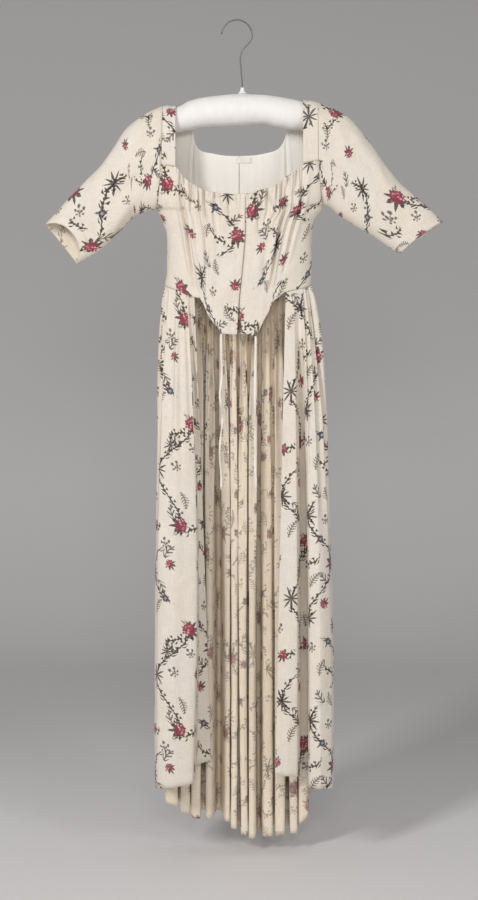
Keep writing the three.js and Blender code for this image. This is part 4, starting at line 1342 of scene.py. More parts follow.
def make_strap(side):
    shoulder = SHOULDER[side]
    front, back = FRONT[side], BACK[side]
    radius = ARMHOLE_HEIGHT / 2

    def arch(z):
        return math.acos(float(power((z - shoulder["centre"]) / radius, ROUND / 2)))

    start, end = arch(front["topZ"][-1] + GAP), -arch(SHOULDER_LEVEL + GAP)
    angle = np.linspace(start, end, STRAP_ROWS)[:, None]
    t = np.linspace(0, 1, STRAP_COLUMNS)[None, :]
    outer_z = shoulder["centre"] + radius * power(np.cos(angle), 2 / ROUND)
    back_inner = mix(shoulder["inner"], back["topX"][SHOULDER_COLUMN], angle / end)
    inner = np.where(angle < 0, back_inner, shoulder["inner"])
    edge = smooth(BODY["z"], BODY[side], outer_z)
    x = mix(inner, edge, t)
    lift = (shoulder["innerCrest"] - shoulder["outerCrest"]) * np.clip(np.cos(angle), 0, 1) ** 2 * (1 - t)
    order = slice(None) if side == "left" else slice(None, None, -1)
    drop = np.interp(x, front["topX"][order], front["topZ"][order]) - front["topZ"][-1]
    z = outer_z + lift + drop * ease((angle - math.pi / 3) / (start - math.pi / 3))
    body = np.where(angle > 0, -body_y(x, z, "front"), body_y(x, z, "back"))
    bulge = body - armhole(z, shoulder["centre"])
    half = ARMHOLE_DEPTH / 2 * np.abs(power(np.sin(angle), 2 / ROUND))
    low = ease((np.abs(angle) - math.pi / 4) / (math.pi / 6))
    y = np.where(angle > 0, -1, 1) * (half + bulge * low)
    grid = stack(x, y, z)
    u, v = flat_places(grid)
    sign = shoulder["side"]
    height = crease(u, v, STRAP_FOLDS) + 0.25 * rumple(u, v, 40, 13)
    height += 0.4 * ease((7 - u) / 1.0) * ease(u / 1.0)
    grid = push(grid, height * ease((u[:, -1:] - u) / 3 + 0.2), sign)
    return printed_piece("strap_" + side, "shoulder_strap_" + side, grid, (u, v), sign)


straps = {side: make_strap(side) for side in ("right", "left")}
print("strap length", round(float(straps["right"]["v"].max())), "mm")

# %% [markdown]
# Each sleeve is one piece with a seam under the arm. It stands out from the armhole, full at the top,
# and turns down towards the elbow, ending in a hem two centimetres deep. Its sections are rounded
# boxes read smoothly between nine measured rings. The rings stand upright, while the sleeve slants, so
# the print is laid by each point's distance square to the sleeve. At the cuff the near edge hangs back
# a little, which shows the opening.

# %% The sleeves
SLEEVE_RINGS = 110
SLEEVE_AROUND = 96
SLEEVE_HEM = 20
# How far each cuff's near edge hangs back from its far edge
CUFF_SLACK = {"right": 34, "left": 6}
# How far up the sleeve that slack reaches
SLACK_LENGTH = 110
# Folds on the flat sleeve: u round from the top line (towards the back is +), v down the sleeve
SLEEVE_FOLDS = {
    "right": [
        (-150, 20, -100, 120, -4.5, 10), (-170, 50, -120, 150, 3.2, 10), (-90, 10, -60, 140, -2.5, 12),
        (-30, 60, -50, 230, -1.8, 16), (-140, 150, -70, 220, -2.6, 10), (-60, 150, -20, 290, 1.6, 14),
        (150, 20, 100, 120, -4.5, 10), (90, 20, 60, 150, -2.5, 12), (130, 140, 60, 230, 2.4, 12),
        (-110, 60, -40, 20, 1.8, 12), (-20, 200, -60, 300, -1.4, 10), (40, 160, 30, 300, -1.6, 12),
    ],
    "left": [
        (-150, 16, -110, 130, -4.2, 9), (-165, 60, -110, 140, 3.0, 9), (-95, 20, -50, 150, -2.4, 12),
        (-40, 70, -50, 240, 1.8, 16), (-130, 150, -60, 250, -2.4, 10), (-30, 180, -10, 300, -1.6, 12),
        (150, 20, 110, 130, -4.2, 9), (90, 30, 70, 160, -2.2, 12), (120, 150, 50, 240, 2.2, 12),
        (-100, 70, -30, 30, 1.6, 12), (40, 120, 30, 290, -1.6, 12),
    ],
}


def make_sleeve(side):
    rows = SLEEVE[side]
    way = SHOULDER[side]["side"]
    sign = -way
    place = np.linspace(0, len(rows["topX"]) - 1, SLEEVE_RINGS)[:, None]
    angle = np.linspace(-math.pi, math.pi, SLEEVE_AROUND + 1)[None, :]
    top_x, top_z, low_x, low_z, depth = by_place(rows, "topX topZ lowX lowZ depth", place)
    swing = power(np.cos(angle), 2 / ROUND)
    x = (top_x + low_x) / 2 + (top_x - low_x) / 2 * swing
    z = (top_z + low_z) / 2 + (top_z - low_z) / 2 * swing
    y = depth / 2 * power(np.sin(angle), 2 / ROUND)
    x[0] = smooth(BODY["z"], BODY[side], z[0]) + way * GAP
    grid = stack(x, y, z)
    top = SLEEVE_AROUND // 2
    axis = np.gradient((grid[:, top] + grid[:, 0]) / 2, axis=0)
    axis /= np.linalg.norm(axis, axis=1, keepdims=True)
    ring = grid[:, 0] - grid[:, top]
    ring /= np.linalg.norm(ring, axis=1, keepdims=True)
    slant = np.clip((ring * axis).sum(axis=1), 0, 0.9)[:, None]
    left = lengths_along(grid, 0)[-1:] - lengths_along(grid, 0)
    drawn_in = CUFF_SLACK[side] * np.clip(-np.sin(angle), 0, 1) ** 1.5 * ease(1 - left / SLACK_LENGTH)
    grid = grid - axis[:, None, :] * drawn_in[..., None]
    around = lengths_along(grid, 1)
    u = around - around[:, top: top + 1]
    v = lengths_along(grid, 0)
    laid = (u * np.sqrt(1 - slant**2), v[:, top: top + 1] + np.abs(u) * slant - drawn_in)
    end = v[-1:, :] - v
    height = crease(u, v, SLEEVE_FOLDS[side]) + 0.7 * rumple(u, v, 75, 14 + way)
    height *= ease(v / 22)
    hem = ease((SLEEVE_HEM - end) / 1.4)
    pucker = 0.18 * np.sin(u / 5.3) + 0.12 * np.sin(u / 3.1 + 1)
    height = height * (1 - 0.75 * hem) + 0.35 * hem - (0.5 + pucker) * ridge(end - SLEEVE_HEM, 1.6)
    height -= 0.7 * ridge(u - u[:, :1], 2.5) + 0.7 * ridge(u[:, -1:] - u, 2.5)
    body = push(grid[:, :-1], height[:, :-1], sign, closed=True)
    grid = np.concatenate([body, body[:, :1]], axis=1)
    name = "sleeve_" + side
    return printed_piece(name, name, grid, (u, v), sign, laid=laid, tube=True)


sleeves = {side: make_sleeve(side) for side in ("right", "left")}
print("sleeve length", round(float(sleeves["right"]["v"][:, SLEEVE_AROUND // 2].max())), "mm")

# %% [markdown]
# The skirt is a rectangle of cloth, pleated finely to the waist seam. The pleats run together into
# deep upright folds. Each row of the grid is a smooth line through the folds' bends, which move from
# their places on the waist seam to their places at the hem. Cloth hidden in the pleats at the waist
# comes out lower down, so each face of a fold carries its own strip of the print.

# %% The waist seam and the folds' bends
SEAM_STEPS = 400


def waist_line():
    """Middle of the waist, and x, y and length along the seam from the middle front to the back"""
    middle, half = outline(np.array(float(WAIST_LEVEL)))
    angle = np.linspace(0, math.pi, SEAM_STEPS + 1)
    x = half * power(np.sin(angle), 2 / ROUND)
    at_waist = int(np.flatnonzero(BODY["z"] == WAIST_LEVEL)[0])
    front, back = BODY["front"][at_waist], BODY["back"][at_waist]
    y = np.where(np.cos(angle) > 0, -front, back) * np.abs(power(np.cos(angle), 2 / ROUND))
    length = np.concatenate([[0], np.cumsum(np.hypot(np.diff(x), np.diff(y)))])
    return float(middle), x, y, length


WAIST_MIDDLE, WAIST_X, WAIST_Y, WAIST_LENGTH = waist_line()
WAIST_WHOLE = float(WAIST_LENGTH[-1])


def on_waist(distance, way):
    """x and y at a distance along the seam: way is -1 on the wearer's right and 1 on the left"""
    x = np.interp(distance, WAIST_LENGTH, WAIST_X)
    return WAIST_MIDDLE + way * x, np.interp(distance, WAIST_LENGTH, WAIST_Y)


def seam_height(x, y):
    """Height of the bodice's lower edge over each place, less the seam's gap"""
    height = np.empty_like(x)
    for face, tables in (("front", FRONT), ("back", BACK)):
        for side in ("right", "left"):
            rows = tables[side]
            here = (y < 0) == (face == "front")
            here &= (x < CENTRE_BACK) == (side == "right")
            height[here] = straight(rows["lowX"], rows["lowZ"], x[here])
    return height - GAP


def skirt_bends():
    """Every bend from the right front's free edge round the back to the left's: columns of waist x, y
    and of hem x, y, z, early, bow and pleat"""
    bends = []
    right, left = SKIRT_FRONT["right"], SKIRT_FRONT["left"]
    columns = ("x", "y", "z", "early", "bow", "pleat")
    for row in range(len(right["seam"])):
        bends.append([*on_waist(right["seam"][row], -1), *(right[name][row] for name in columns)])
    across = []
    for outer_x, outer_y, inner_x, inner_y in zip(*SKIRT_BACK.values()):
        across += [(outer_x, outer_y), (inner_x, inner_y)]
    across.append(SKIRT_BACK_END)
    first, last = right["seam"][-1], 2 * WAIST_WHOLE - left["seam"][-1]
    for number, (x, y) in enumerate(across):
        seam = mix(first, last, (number + 1) / (len(across) + 1))
        way = -1 if seam < WAIST_WHOLE else 1
        distance = seam if way < 0 else 2 * WAIST_WHOLE - seam
        z = float(straight(HEM_BACK["x"], HEM_BACK["z"], x))
        bends.append([*on_waist(distance, way), x, y, z, 1, 0, 1])
    for row in reversed(range(len(left["seam"]))):
        bends.append([*on_waist(left["seam"][row], 1), *(left[name][row] for name in columns)])
    return np.array(bends, float)


BENDS = skirt_bends()
RIGHT_SIDE = len(SKIRT_FRONT["right"]["seam"]) - 1
LEFT_SIDE = len(BENDS) - len(SKIRT_FRONT["left"]["seam"])
BACK_SEAM = (RIGHT_SIDE + LEFT_SIDE) // 2
print("bends round the skirt:", len(BENDS), "seams at", RIGHT_SIDE, BACK_SEAM, LEFT_SIDE)

# %% [markdown]
# At the waist the pleats are small and even. Lower down each fold shows a broad flat face with only a
# slit to the next one. The tables say how tightly each fold closes and where it sways. A plain smooth
# wave would look like a row of pipes, so the line between two bends swells into a flat face.

# %% How the folds hang
# How much broader the near face of a waist pleat is than the gap behind it: 0 alike, 1 gap closed
PLEAT_FACE = 0.72
# How far to each side of a place, in bends, the waist seam's direction is read
NEARBY = 0.1
# How far a fold's faces swell over the slits before and behind it, open and tight, and how much of
# the way from near to far bend is flat face
OPEN_SWELL = 0.05
CLOSED_SWELL = 0.62
FACE_FLAT = 0.17
# Share of the way down at which the pleats have run together, halfway, and the hem
FOLD_HEIGHTS = np.array([0.22, 0.5, 1.0])
# How tightly the back's folds close behind their near faces, from the wearer's right to left, at
# those three heights
FOLD_GAPS = table(
    "top middle low",
    (0.5, 0.7, 0.85),
    (0.7, 0.7, 0.6),
    (0.6, 0.75, 0.97),
    (0.75, 0.6, 0.35),
    (0.45, 0.1, 0.05),
    (0.7, 0.72, 0.85),
    (0.5, 0.8, 0.25),
    (0.75, 0.65, 0.95),
    (0.4, 0.3, 0.12),
    (0.3, 0.8, 0.9),
    (0.6, 0.85, 0.3),
    (0.7, 0.7, 0.97),
    (0.5, 0.6, 0.3),
)
# How soon a closing fold takes its flat faces
FLATTEN = 2.5
# Bends that swing aside or stand back between the waist and the hem
FOLD_SWAY = table(
    "bend aside away",
    (15, 3, 0),
    (17, 2, 4),
    (19, 3, 0),
    (20, 1, 5),
    (21, -2, 0),
    (23, -3, 0),
    (25, -5, 0),
    (26, 2, 20),
    (27, -3, 0),
)
SKIRT_ROWS = 120
FRONT_STEPS = 12
BACK_STEPS = 8
SKIRT_HEM = 9
# Bends where a fold's face ends and the next face's strip of print begins
FACE_EDGES = {
    "skirt_front_right": (0, 2, 5, 6, 7, 8),
    "skirt_front_left": (34, 35, 36, 37, 41, 44),
}
# Soft folds on the flat cloth: u from the panel's first edge, v down from the waist
SKIRT_FOLDS = {
    "skirt_front_right": [
        (50, -30, 56, 330, -11, 24), (4, -30, 4, 340, 4, 16), (112, 2, 110, 330, -2.6, 5),
        (121, 2, 122, 240, 2.2, 5), (131, 2, 133, 420, -2.4, 6), (144, 2, 143, 300, 2.0, 5),
        (156, 2, 158, 380, -2.2, 6), (168, 2, 170, 260, 1.8, 6),
        (180, 2, 184, 460, -2.0, 6), (196, 2, 199, 300, 1.6, 6), (124, 380, 132, 1010, -1.6, 14),
        (166, 420, 160, 1016, 1.8, 16), (190, 500, 186, 1018, -1.4, 12), (110, 500, 116, 960, 1.2, 12),
        (60, 200, 66, 900, -1.6, 12), (24, 300, 20, 980, 1.2, 10),
    ],
    "skirt_front_left": [
        (227, 120, 227, 1080, -16, 13), (126, -20, 130, 210, -7, 13), (106, -20, 110, 190, 5, 14),
        (52, 2, 46, 380, -2.4, 6), (66, 2, 62, 300, 2.0, 6), (82, 2, 80, 440, -2.2, 6),
        (98, 2, 97, 330, 2.0, 6), (114, 2, 110, 500, -2.0, 7), (130, 2, 128, 300, 1.8, 6),
        (70, 420, 78, 1016, -1.6, 14), (108, 500, 102, 1010, 1.6, 14), (136, 300, 140, 980, -1.5, 12),
        (230, 300, 226, 960, -1.4, 12), (250, 200, 252, 900, 1.2, 10), (180, 260, 186, 900, 1.2, 12),
    ],
    "skirt_back_right": [
        (60 + 115 * n, 250 + 70 * (n % 3), 66 + 115 * n, 1000, -1.2, 9) for n in range(10)
    ],
    "skirt_back_left": [
        (50 + 112 * n, 300 + 60 * (n % 4), 42 + 112 * n, 1030, -1.2, 9) for n in range(10)
    ],
}
print("rows of the skirt's grid:", SKIRT_ROWS)

# %% A line through the folds


def fold_curve(points, place, closed=None):
    """Smooth line through the bends of one section. closed says for each far bend how tightly its two
    faces meet: 0 for an open round bend, 1 for broad flat near faces with only a slit between them"""
    row = np.minimum(place.astype(int), len(points) - 2)
    u = (place - row)[:, None]
    first = np.maximum(np.arange(len(points)) - 1, 0)
    after = np.minimum(np.arange(len(points)) + 1, len(points) - 1)
    spread = points[after] - points[first]
    size = np.linalg.norm(spread, axis=1)
    gap = np.linalg.norm(points[row + 1] - points[row], axis=1)

    def heading(at):
        reach = np.minimum(gap * FOLD_ROUNDNESS, size[at] * FOLD_LIMIT)
        return spread[at] / size[at][:, None] * reach[:, None]

    round_line = hermite(points[row], points[row + 1], heading(row), heading(row + 1), u)
    if closed is None:
        return round_line
    tight = np.maximum(closed[row], closed[row + 1])
    from_near = closed[row] < closed[row + 1]
    near = np.where(from_near[:, None], points[row], points[row + 1])
    far = np.where(from_near[:, None], points[row + 1], points[row])
    way = np.where(from_near, u[:, 0], 1 - u[:, 0])
    aside = way + mix(OPEN_SWELL, CLOSED_SWELL, tight) * np.sin(2 * math.pi * way)
    back = ease((way - FACE_FLAT) / (1 - 2 * FACE_FLAT))
    flat_line = near + (far - near) * np.stack([aside, back], axis=1)
    return mix(round_line, flat_line, ease(tight * FLATTEN)[:, None])


def gap_closing(t):
    """How tightly each bend's faces meet at a height: only the bends away from the front are tight"""
    closed = np.zeros(len(BENDS))
    for number, row in enumerate(zip(*FOLD_GAPS.values())):
        closed[RIGHT_SIDE + 1 + 2 * number] = smooth(FOLD_HEIGHTS, np.array(row), np.array(t))
    return closed * float(ease(t / FOLD_HEIGHTS[0]))


def skirt_line(t, places):
    """Points of one row of the skirt, t of the way down, at fractional numbers of bends"""
    waist, hem = BENDS[:, 0:2], BENDS[:, 2:4]
    z_hem, early, bow, pleat = BENDS[:, 4], BENDS[:, 5], BENDS[:, 6], BENDS[:, 7]
    grown = mix(t, 1 - (1 - t) ** FOLD_OPENING, early)[:, None]
    bends = mix(waist, hem, grown)
    bends[:, 0] += bow * math.sin(math.pi * t)
    swell = math.sin(math.pi * t**0.7)
    rows = FOLD_SWAY["bend"].astype(int)
    bends[rows, 0] += FOLD_SWAY["aside"] * swell
    bends[rows, 1] += FOLD_SWAY["away"] * swell
    points = fold_curve(bends, places, gap_closing(t))
    on = fold_curve(waist, places)
    after = fold_curve(waist, np.minimum(places + NEARBY, len(BENDS) - 1.001))
    before = fold_curve(waist, np.maximum(places - NEARBY, 0))
    outward = np.stack([before[:, 1] - after[:, 1], after[:, 0] - before[:, 0]], axis=1)
    outward /= np.linalg.norm(outward, axis=1, keepdims=True)
    numbers = np.arange(len(BENDS), dtype=float)
    depth = float(smooth(PLEAT_DEPTH["t"], PLEAT_DEPTH["depth"], np.array(t)))
    whole = np.interp(places, numbers, pleat)
    uneven = 1 + 0.3 * np.sin(places * 2.1) + 0.15 * np.sin(places * 5.3)
    ripple = np.cos(2 * np.pi * places) * whole * depth * uneven
    points = points + outward * ripple[:, None]
    along = np.stack([outward[:, 1], -outward[:, 0]], axis=1)
    step = np.linalg.norm(after - before, axis=1) / (2 * NEARBY)
    face = PLEAT_FACE * step / (2 * np.pi) * np.sin(2 * np.pi * places) * whole * min(depth / 3, 1)
    points = points + along * face[:, None]
    z = mix(seam_height(on[:, 0], on[:, 1]), smooth(numbers, z_hem, places), t)
    return np.column_stack([points, z])


print("folds closed at the hem:", round(float(gap_closing(1.0).sum()), 2))

# %% The skirt's panels


def skirt_panel(name, first, last, steps, seed):
    """One panel of the skirt, from its first bend to its last"""
    places = np.linspace(first, last, (last - first) * steps + 1)
    fall = np.linspace(0, 1, SKIRT_ROWS) ** 1.2
    grid = np.array([skirt_line(float(t), places) for t in fall])
    u, v = flat_places(grid)
    flat = u[-1:] + np.zeros_like(u)
    height = crease(flat, v, SKIRT_FOLDS[name]) + rumple(flat, v * 0.35, 46, seed) * 0.8 * ease(v / 200)
    up = v[-1:] - v
    height += 0.3 * ease((SKIRT_HEM - up) / 1.4) - 0.3 * ridge(up - SKIRT_HEM, 1.4)
    still = ease(u[-1:] / 8 + (0.1 if first > 0 else 0.4)) * ease((u[-1:, -1:] - u[-1:]) / 8 + 0.1)
    grid = push(grid, height * still, 1)
    grid = trim(grid, GAP / 2, first=first > 0, last=last < len(BENDS) - 1)
    u, v = flat_places(grid)
    edges = FACE_EDGES.get(name, tuple(range(first, last + 1)))
    left_u, right_u = np.empty_like(u[:, 1:]), np.empty_like(u[:, 1:])
    for start, end in zip(edges[:-1], edges[1:]):
        a, b = (start - first) * steps, (end - first) * steps
        middle = (a + b) // 2
        shift = u[-1, middle] - u[:, middle: middle + 1]
        left_u[:, a:b] = u[:, a:b] + shift
        right_u[:, a:b] = u[:, a + 1:b + 1] + shift
    return printed_piece(name, name, grid, (u, v), 1, face_u=(left_u, right_u))


# Each panel's first and last bend, columns from bend to bend and seed of its rumple
PANELS = {
    "skirt_front_right": (0, RIGHT_SIDE, FRONT_STEPS, 21),
    "skirt_back_right": (RIGHT_SIDE, BACK_SEAM, BACK_STEPS, 22),
    "skirt_back_left": (BACK_SEAM, LEFT_SIDE, BACK_STEPS, 23),
    "skirt_front_left": (LEFT_SIDE, len(BENDS) - 1, FRONT_STEPS, 24),
}
skirt = {name: skirt_panel(name, *values) for name, values in PANELS.items()}
print("hem length", [round(float(part["u"][-1, -1])) for part in skirt.values()], "mm")

# %% [markdown]
# The hanger is a padded bar under a stretched white cotton cover, gathered to a small peak round the
# stem of a wire hook. The bar is a run of round sections read smoothly from its table, with rounded
# ends, and a sewn seam along its underside.

# %% The padded bar
PAD_RINGS = 130
PAD_AROUND = 48
# Where the cover's seam lies, round from the bar's underside towards the back
PAD_SEAM = 0.35


def make_pad():
    """The bar, with the seam of its cover underneath and the cover gathered round the stem"""
    first, last = PAD["x"][0] - PAD_END, PAD["x"][-1] + PAD_END
    along = np.linspace(0, 1, PAD_RINGS)[:, None]
    x = mix(first, last, 0.5 - 0.5 * np.cos(np.pi * along))
    held = np.clip(x, PAD["x"][0], PAD["x"][-1])
    crest = smooth(PAD["x"], PAD["crest"], held)
    foot = smooth(PAD["x"], PAD["foot"], held)
    over = np.abs(x - held) / PAD_END
    radius = (crest - foot) / 2 * np.sqrt(np.maximum(1 - over**2, 0.0004))
    angle = np.linspace(0, 2 * np.pi, PAD_AROUND, endpoint=False)[None, :]
    from_seam = angle - np.pi - PAD_SEAM
    seam = -0.9 * ridge(from_seam, 0.07)
    pull = 0.35 * np.sin(x / 5.5) * ridge(from_seam, 0.5)
    gathered = 0.8 * np.cos(angle * 9) * ridge(x - STEM_X, 9) * (np.cos(angle) > 0.2)
    soft = 0.5 * rumple(x + 0 * angle, angle * 30 + 0 * x, 70, 31)
    reach = radius + (seam + pull + gathered + soft) * np.minimum(radius / 20, 1)
    grid = stack(x + 0 * angle, reach * np.sin(angle), (crest + foot) / 2 + reach * np.cos(angle))
    builder = bmesh.new()
    add_rings(builder, grid)
    piece = settle(finish_mesh("hanger_padding", builder, cover), "hanger_pad")


make_pad()
print("padded bar rings:", PAD_RINGS)

# %% The gathered collar and the wire hook
COLLAR_OUTLINE = table(
    "r z",
    (8.2, 0.3), (7.9, 1.3), (5.2, 4.2), (3.7, 7.4), (3.1, 9.4), (3.5, 10.6), (3.2, 12.4),
)
COLLAR_ROWS = 26
COLLAR_AROUND = 54
COLLAR_GATHERS = 9
# The hook's bend in degrees, and its shank from the bend down into the bar
HOOK_BEND = range(176, -9, -8)
HOOK_SHANK = [
    (26.5, -41), (18.5, -50), (11.5, -58.5), (8, -68), (8.6, -96), (STEM_X, -126),
    (STEM_X, STEM_TOP + 0.4),
]
HOOK_RINGS = 150


def make_collar():
    """The cover's cloth, gathered to a small peak round the stem"""
    foot = STEM_TOP + 0.6
    place = np.linspace(0, len(COLLAR_OUTLINE["r"]) - 1, COLLAR_ROWS)
    radius, height = by_place(COLLAR_OUTLINE, "r z", place)
    angle = np.linspace(0, 2 * np.pi, COLLAR_AROUND, endpoint=False)
    ruffle = 1 + 0.09 * np.cos(COLLAR_GATHERS * angle + 0.4 * np.sin(2 * angle))
    reach, level = np.outer(radius, ruffle), (foot + height)[:, None] + 0 * angle
    builder = bmesh.new()
    add_rings(builder, stack(STEM_X + reach * np.cos(angle), reach * np.sin(angle), level))
    settle(finish_mesh("hanger_collar_cloth", builder, cover), "hanger_collar")


def make_hook():
    """The wire, filed thinner at its tip"""
    centre = WIRE_RADIUS - HOOK_RADIUS
    turns = [math.radians(degrees) for degrees in HOOK_BEND]
    bend = [(HOOK_RADIUS * math.cos(turn), 0, centre + HOOK_RADIUS * math.sin(turn)) for turn in turns]
    points = smooth_route(bend + [(x, 0, z) for x, z in HOOK_SHANK], HOOK_RINGS)
    size = np.full(HOOK_RINGS, 2 * WIRE_RADIUS)
    size[0], size[1] = size[0] * 0.5, size[1] * 0.85
    builder = bmesh.new()
    sweep(builder, points, size, size, np.zeros(HOOK_RINGS), 16)
    settle(finish_mesh("hook_wire", builder, steel), "hanger_hook")


make_collar()
make_hook()
print("hook bend", 2 * HOOK_RADIUS, "mm across")

# %% [markdown]
# A small blank tape is sewn to the lining behind the neck. It is a thin strip laid on the lining's own
# form.

# %% The neck tape
LABEL_LEFT, LABEL_RIGHT = -1.5, 30.5
LABEL_TOP, LABEL_LOW = -270.5, -282.5


def on_lining(x, z):
    """How far back the tape lies at a place behind the neck"""
    return body_y(x, z, "back") - LINING_OFFSET - LINING - GAP


def make_label():
    x, z = np.meshgrid(np.linspace(LABEL_LEFT, LABEL_RIGHT, 40), np.linspace(LABEL_TOP, LABEL_LOW, 16))
    y = on_lining(x, z)
    u, v = x - LABEL_LEFT, LABEL_TOP - z
    edge = np.minimum(np.minimum(u, LABEL_RIGHT - LABEL_LEFT - u), np.minimum(v, LABEL_TOP - LABEL_LOW - v))
    y = y - 0.15 * ease(edge / 1.2) - 0.12 * np.sin(u / 2.1) * np.exp(-edge / 1.5)
    piece = make_cloth("neck_tape", stack(x, y, z), u, v)
    return dress(piece, "neck_label", 0.4, (tape,))


label = make_label()
print("neck tape", LABEL_RIGHT - LABEL_LEFT, "by", LABEL_TOP - LABEL_LOW, "mm")

# %% [markdown]
# The gown is sewn by hand with short running stitches, a few millimetres apart. A small node tree lays
# them: it walks along the seam lines, sets a point at every stitch, and turns a slim rounded bead along
# the line there. One tree serves every hem, and each region's stitches become one plain mesh.

# %% The stitch tree


def make_stitch_tree():
    tree = bpy.data.node_groups.new("running stitches", "GeometryNodeTree")
    tree.is_modifier = True
    face = tree.interface
    face.new_socket("Geometry", in_out="INPUT", socket_type="NodeSocketGeometry")
    for name in ("Spacing", "Length", "Thickness"):
        face.new_socket(name, in_out="INPUT", socket_type="NodeSocketFloat")
    face.new_socket("Thread", in_out="INPUT", socket_type="NodeSocketMaterial")
    face.new_socket("Geometry", in_out="OUTPUT", socket_type="NodeSocketGeometry")
    entry, result = tree.nodes.new("NodeGroupInput"), tree.nodes.new("NodeGroupOutput")
    link = tree.links.new
    line = tree.nodes.new("GeometryNodeMeshToCurve")
    spaced = tree.nodes.new("GeometryNodeResampleCurve")
    spaced.mode = "LENGTH"
    heading = tree.nodes.new("GeometryNodeInputTangent")
    turn = tree.nodes.new("FunctionNodeAlignRotationToVector")
    turn.axis = "Z"
    bead = tree.nodes.new("GeometryNodeMeshUVSphere")
    bead.inputs["Segments"].default_value = 6
    bead.inputs["Rings"].default_value = 4
    bead.inputs["Radius"].default_value = 0.5
    size = tree.nodes.new("ShaderNodeCombineXYZ")
    place = tree.nodes.new("GeometryNodeInstanceOnPoints")
    real = tree.nodes.new("GeometryNodeRealizeInstances")
    finish = tree.nodes.new("GeometryNodeSetMaterial")
    link(entry.outputs["Geometry"], line.inputs[0])
    link(line.outputs[0], spaced.inputs["Curve"])
    link(entry.outputs["Spacing"], spaced.inputs["Length"])
    link(heading.outputs[0], turn.inputs["Vector"])
    link(spaced.outputs[0], place.inputs["Points"])
    link(bead.outputs["Mesh"], place.inputs["Instance"])
    link(turn.outputs[0], place.inputs["Rotation"])
    link(entry.outputs["Thickness"], size.inputs[0])
    link(entry.outputs["Thickness"], size.inputs[1])
    link(entry.outputs["Length"], size.inputs[2])
    link(size.outputs[0], place.inputs["Scale"])
    link(place.outputs[0], real.inputs[0])
    link(real.outputs[0], finish.inputs["Geometry"])
    link(entry.outputs["Thread"], finish.inputs["Material"])
    link(finish.outputs[0], result.inputs[0])
    return tree


stitch_tree = make_stitch_tree()


def stitch(name, lines, spacing, length, thickness=0.55):
    """Running stitches along lines of points given in millimetres"""
    mesh = bpy.data.meshes.new(name + "_lines")
    verts, edges = [], []
    for line in lines:
        start = len(verts)
        verts += [tuple(point * MM) for point in line]
        edges += [(start + at, start + at + 1) for at in range(len(line) - 1)]
    mesh.from_pydata(verts, edges, [])
    guide = add_object(name + "_lines", mesh)
    sewing = guide.modifiers.new("stitches", "NODES")
    sewing.node_group = stitch_tree
    values = {"Spacing": spacing * MM, "Length": length * MM, "Thickness": thickness * MM, "Thread": thread}
    for socket in stitch_tree.interface.items_tree:
        if socket.in_out == "INPUT" and socket.name in values:
            sewing[socket.identifier] = values[socket.name]
    graph = bpy.context.evaluated_depsgraph_get()
    made = bpy.data.meshes.new_from_object(guide.evaluated_get(graph))
    made.name = name
    made.polygons.foreach_set("use_smooth", np.ones(len(made.polygons), bool))
    bpy.data.objects.remove(guide)
    print(name, "polygons", len(made.polygons))
    return settle(add_object(name, made))


print("stitch tree nodes:", len(stitch_tree.nodes))

# %% Where the stitches go


def surface_line(part, rows, cols, lift=0.15):
    """Points just above a grid, at fractional rows and columns"""
    grid = part["grid"] + normals(part["grid"]) * part["sign"] * lift
    row, col = np.asarray(rows, float), np.asarray(cols, float)
    row_low = np.clip(np.floor(row).astype(int), 0, grid.shape[0] - 2)
    col_low = np.clip(np.floor(col).astype(int), 0, grid.shape[1] - 2)
    down, aside = (row - row_low)[:, None], (col - col_low)[:, None]
    upper = mix(grid[row_low, col_low], grid[row_low, col_low + 1], aside)
    lower = mix(grid[row_low + 1, col_low], grid[row_low + 1, col_low + 1], aside)
    return mix(upper, lower, down)


def line_across(part, distance, from_end=False, first=0, last=None):
    """A line across the columns at a distance down the cloth, or up from its end"""
    v = part["v"]
    cols = np.arange(first, v.shape[1] if last is None else last)
    want = v[-1, cols] - distance if from_end else np.full(len(cols), float(distance))
    rows = [np.interp(value, v[:, col], np.arange(v.shape[0])) for value, col in zip(want, cols)]
    return surface_line(part, rows, cols)


def line_down(part, distance, top=0, low=None):
    """A line down the rows at a distance from the first column"""
    u = part["u"]
    rows = np.arange(top, u.shape[0] if low is None else low)
    cols = [np.interp(distance, u[row], np.arange(u.shape[1])) for row in rows]
    return surface_line(part, rows, cols)


STITCH_SPACING = 3.6
STITCH_LENGTH = 1.9
# Stitching close to an edge lies this far in from it
EDGE_STITCH = 2.5
front_stitches = stitch(
    "front_stitches",
    [line_down(fronts["right"], FRONT_HEM, 3)]
    + [line_down(front, EDGE_STITCH, 3) for front in fronts.values()]
    + [line_across(front, CASING, last=GATHERS * GATHER_COLUMNS) for front in fronts.values()]
    + [line_across(front, 3.0, from_end=True, first=2) for front in fronts.values()],
    STITCH_SPACING, STITCH_LENGTH,
)
sleeve_stitches = {
    side: stitch(
        "sleeve_" + side + "_stitches",
        [line_across(sleeve, SLEEVE_HEM, from_end=True), line_across(sleeve, 3.0)],
        STITCH_SPACING, STITCH_LENGTH,
    )
    for side, sleeve in sleeves.items()
}
hem_stitches = {
    name: stitch(name + "_stitches", [line_across(part, SKIRT_HEM, from_end=True)], 5.5, 2.0)
    for name, part in skirt.items()
}
left, right, top, low = LABEL_LEFT + 1, LABEL_RIGHT - 1, LABEL_TOP - 1, LABEL_LOW + 1
corners = np.array([
    [x, float(on_lining(np.array(x), np.array(z))) - 0.1, z]
    for x, z in ((left, top), (right, top), (left, low), (right, low))
])
label_lines = [corners[[start, end]] for start, end in ((0, 1), (2, 3), (0, 2), (1, 3))]
label_stitches = stitch("neck_tape_stitches", label_lines, 2.4, 1.4, 0.4)
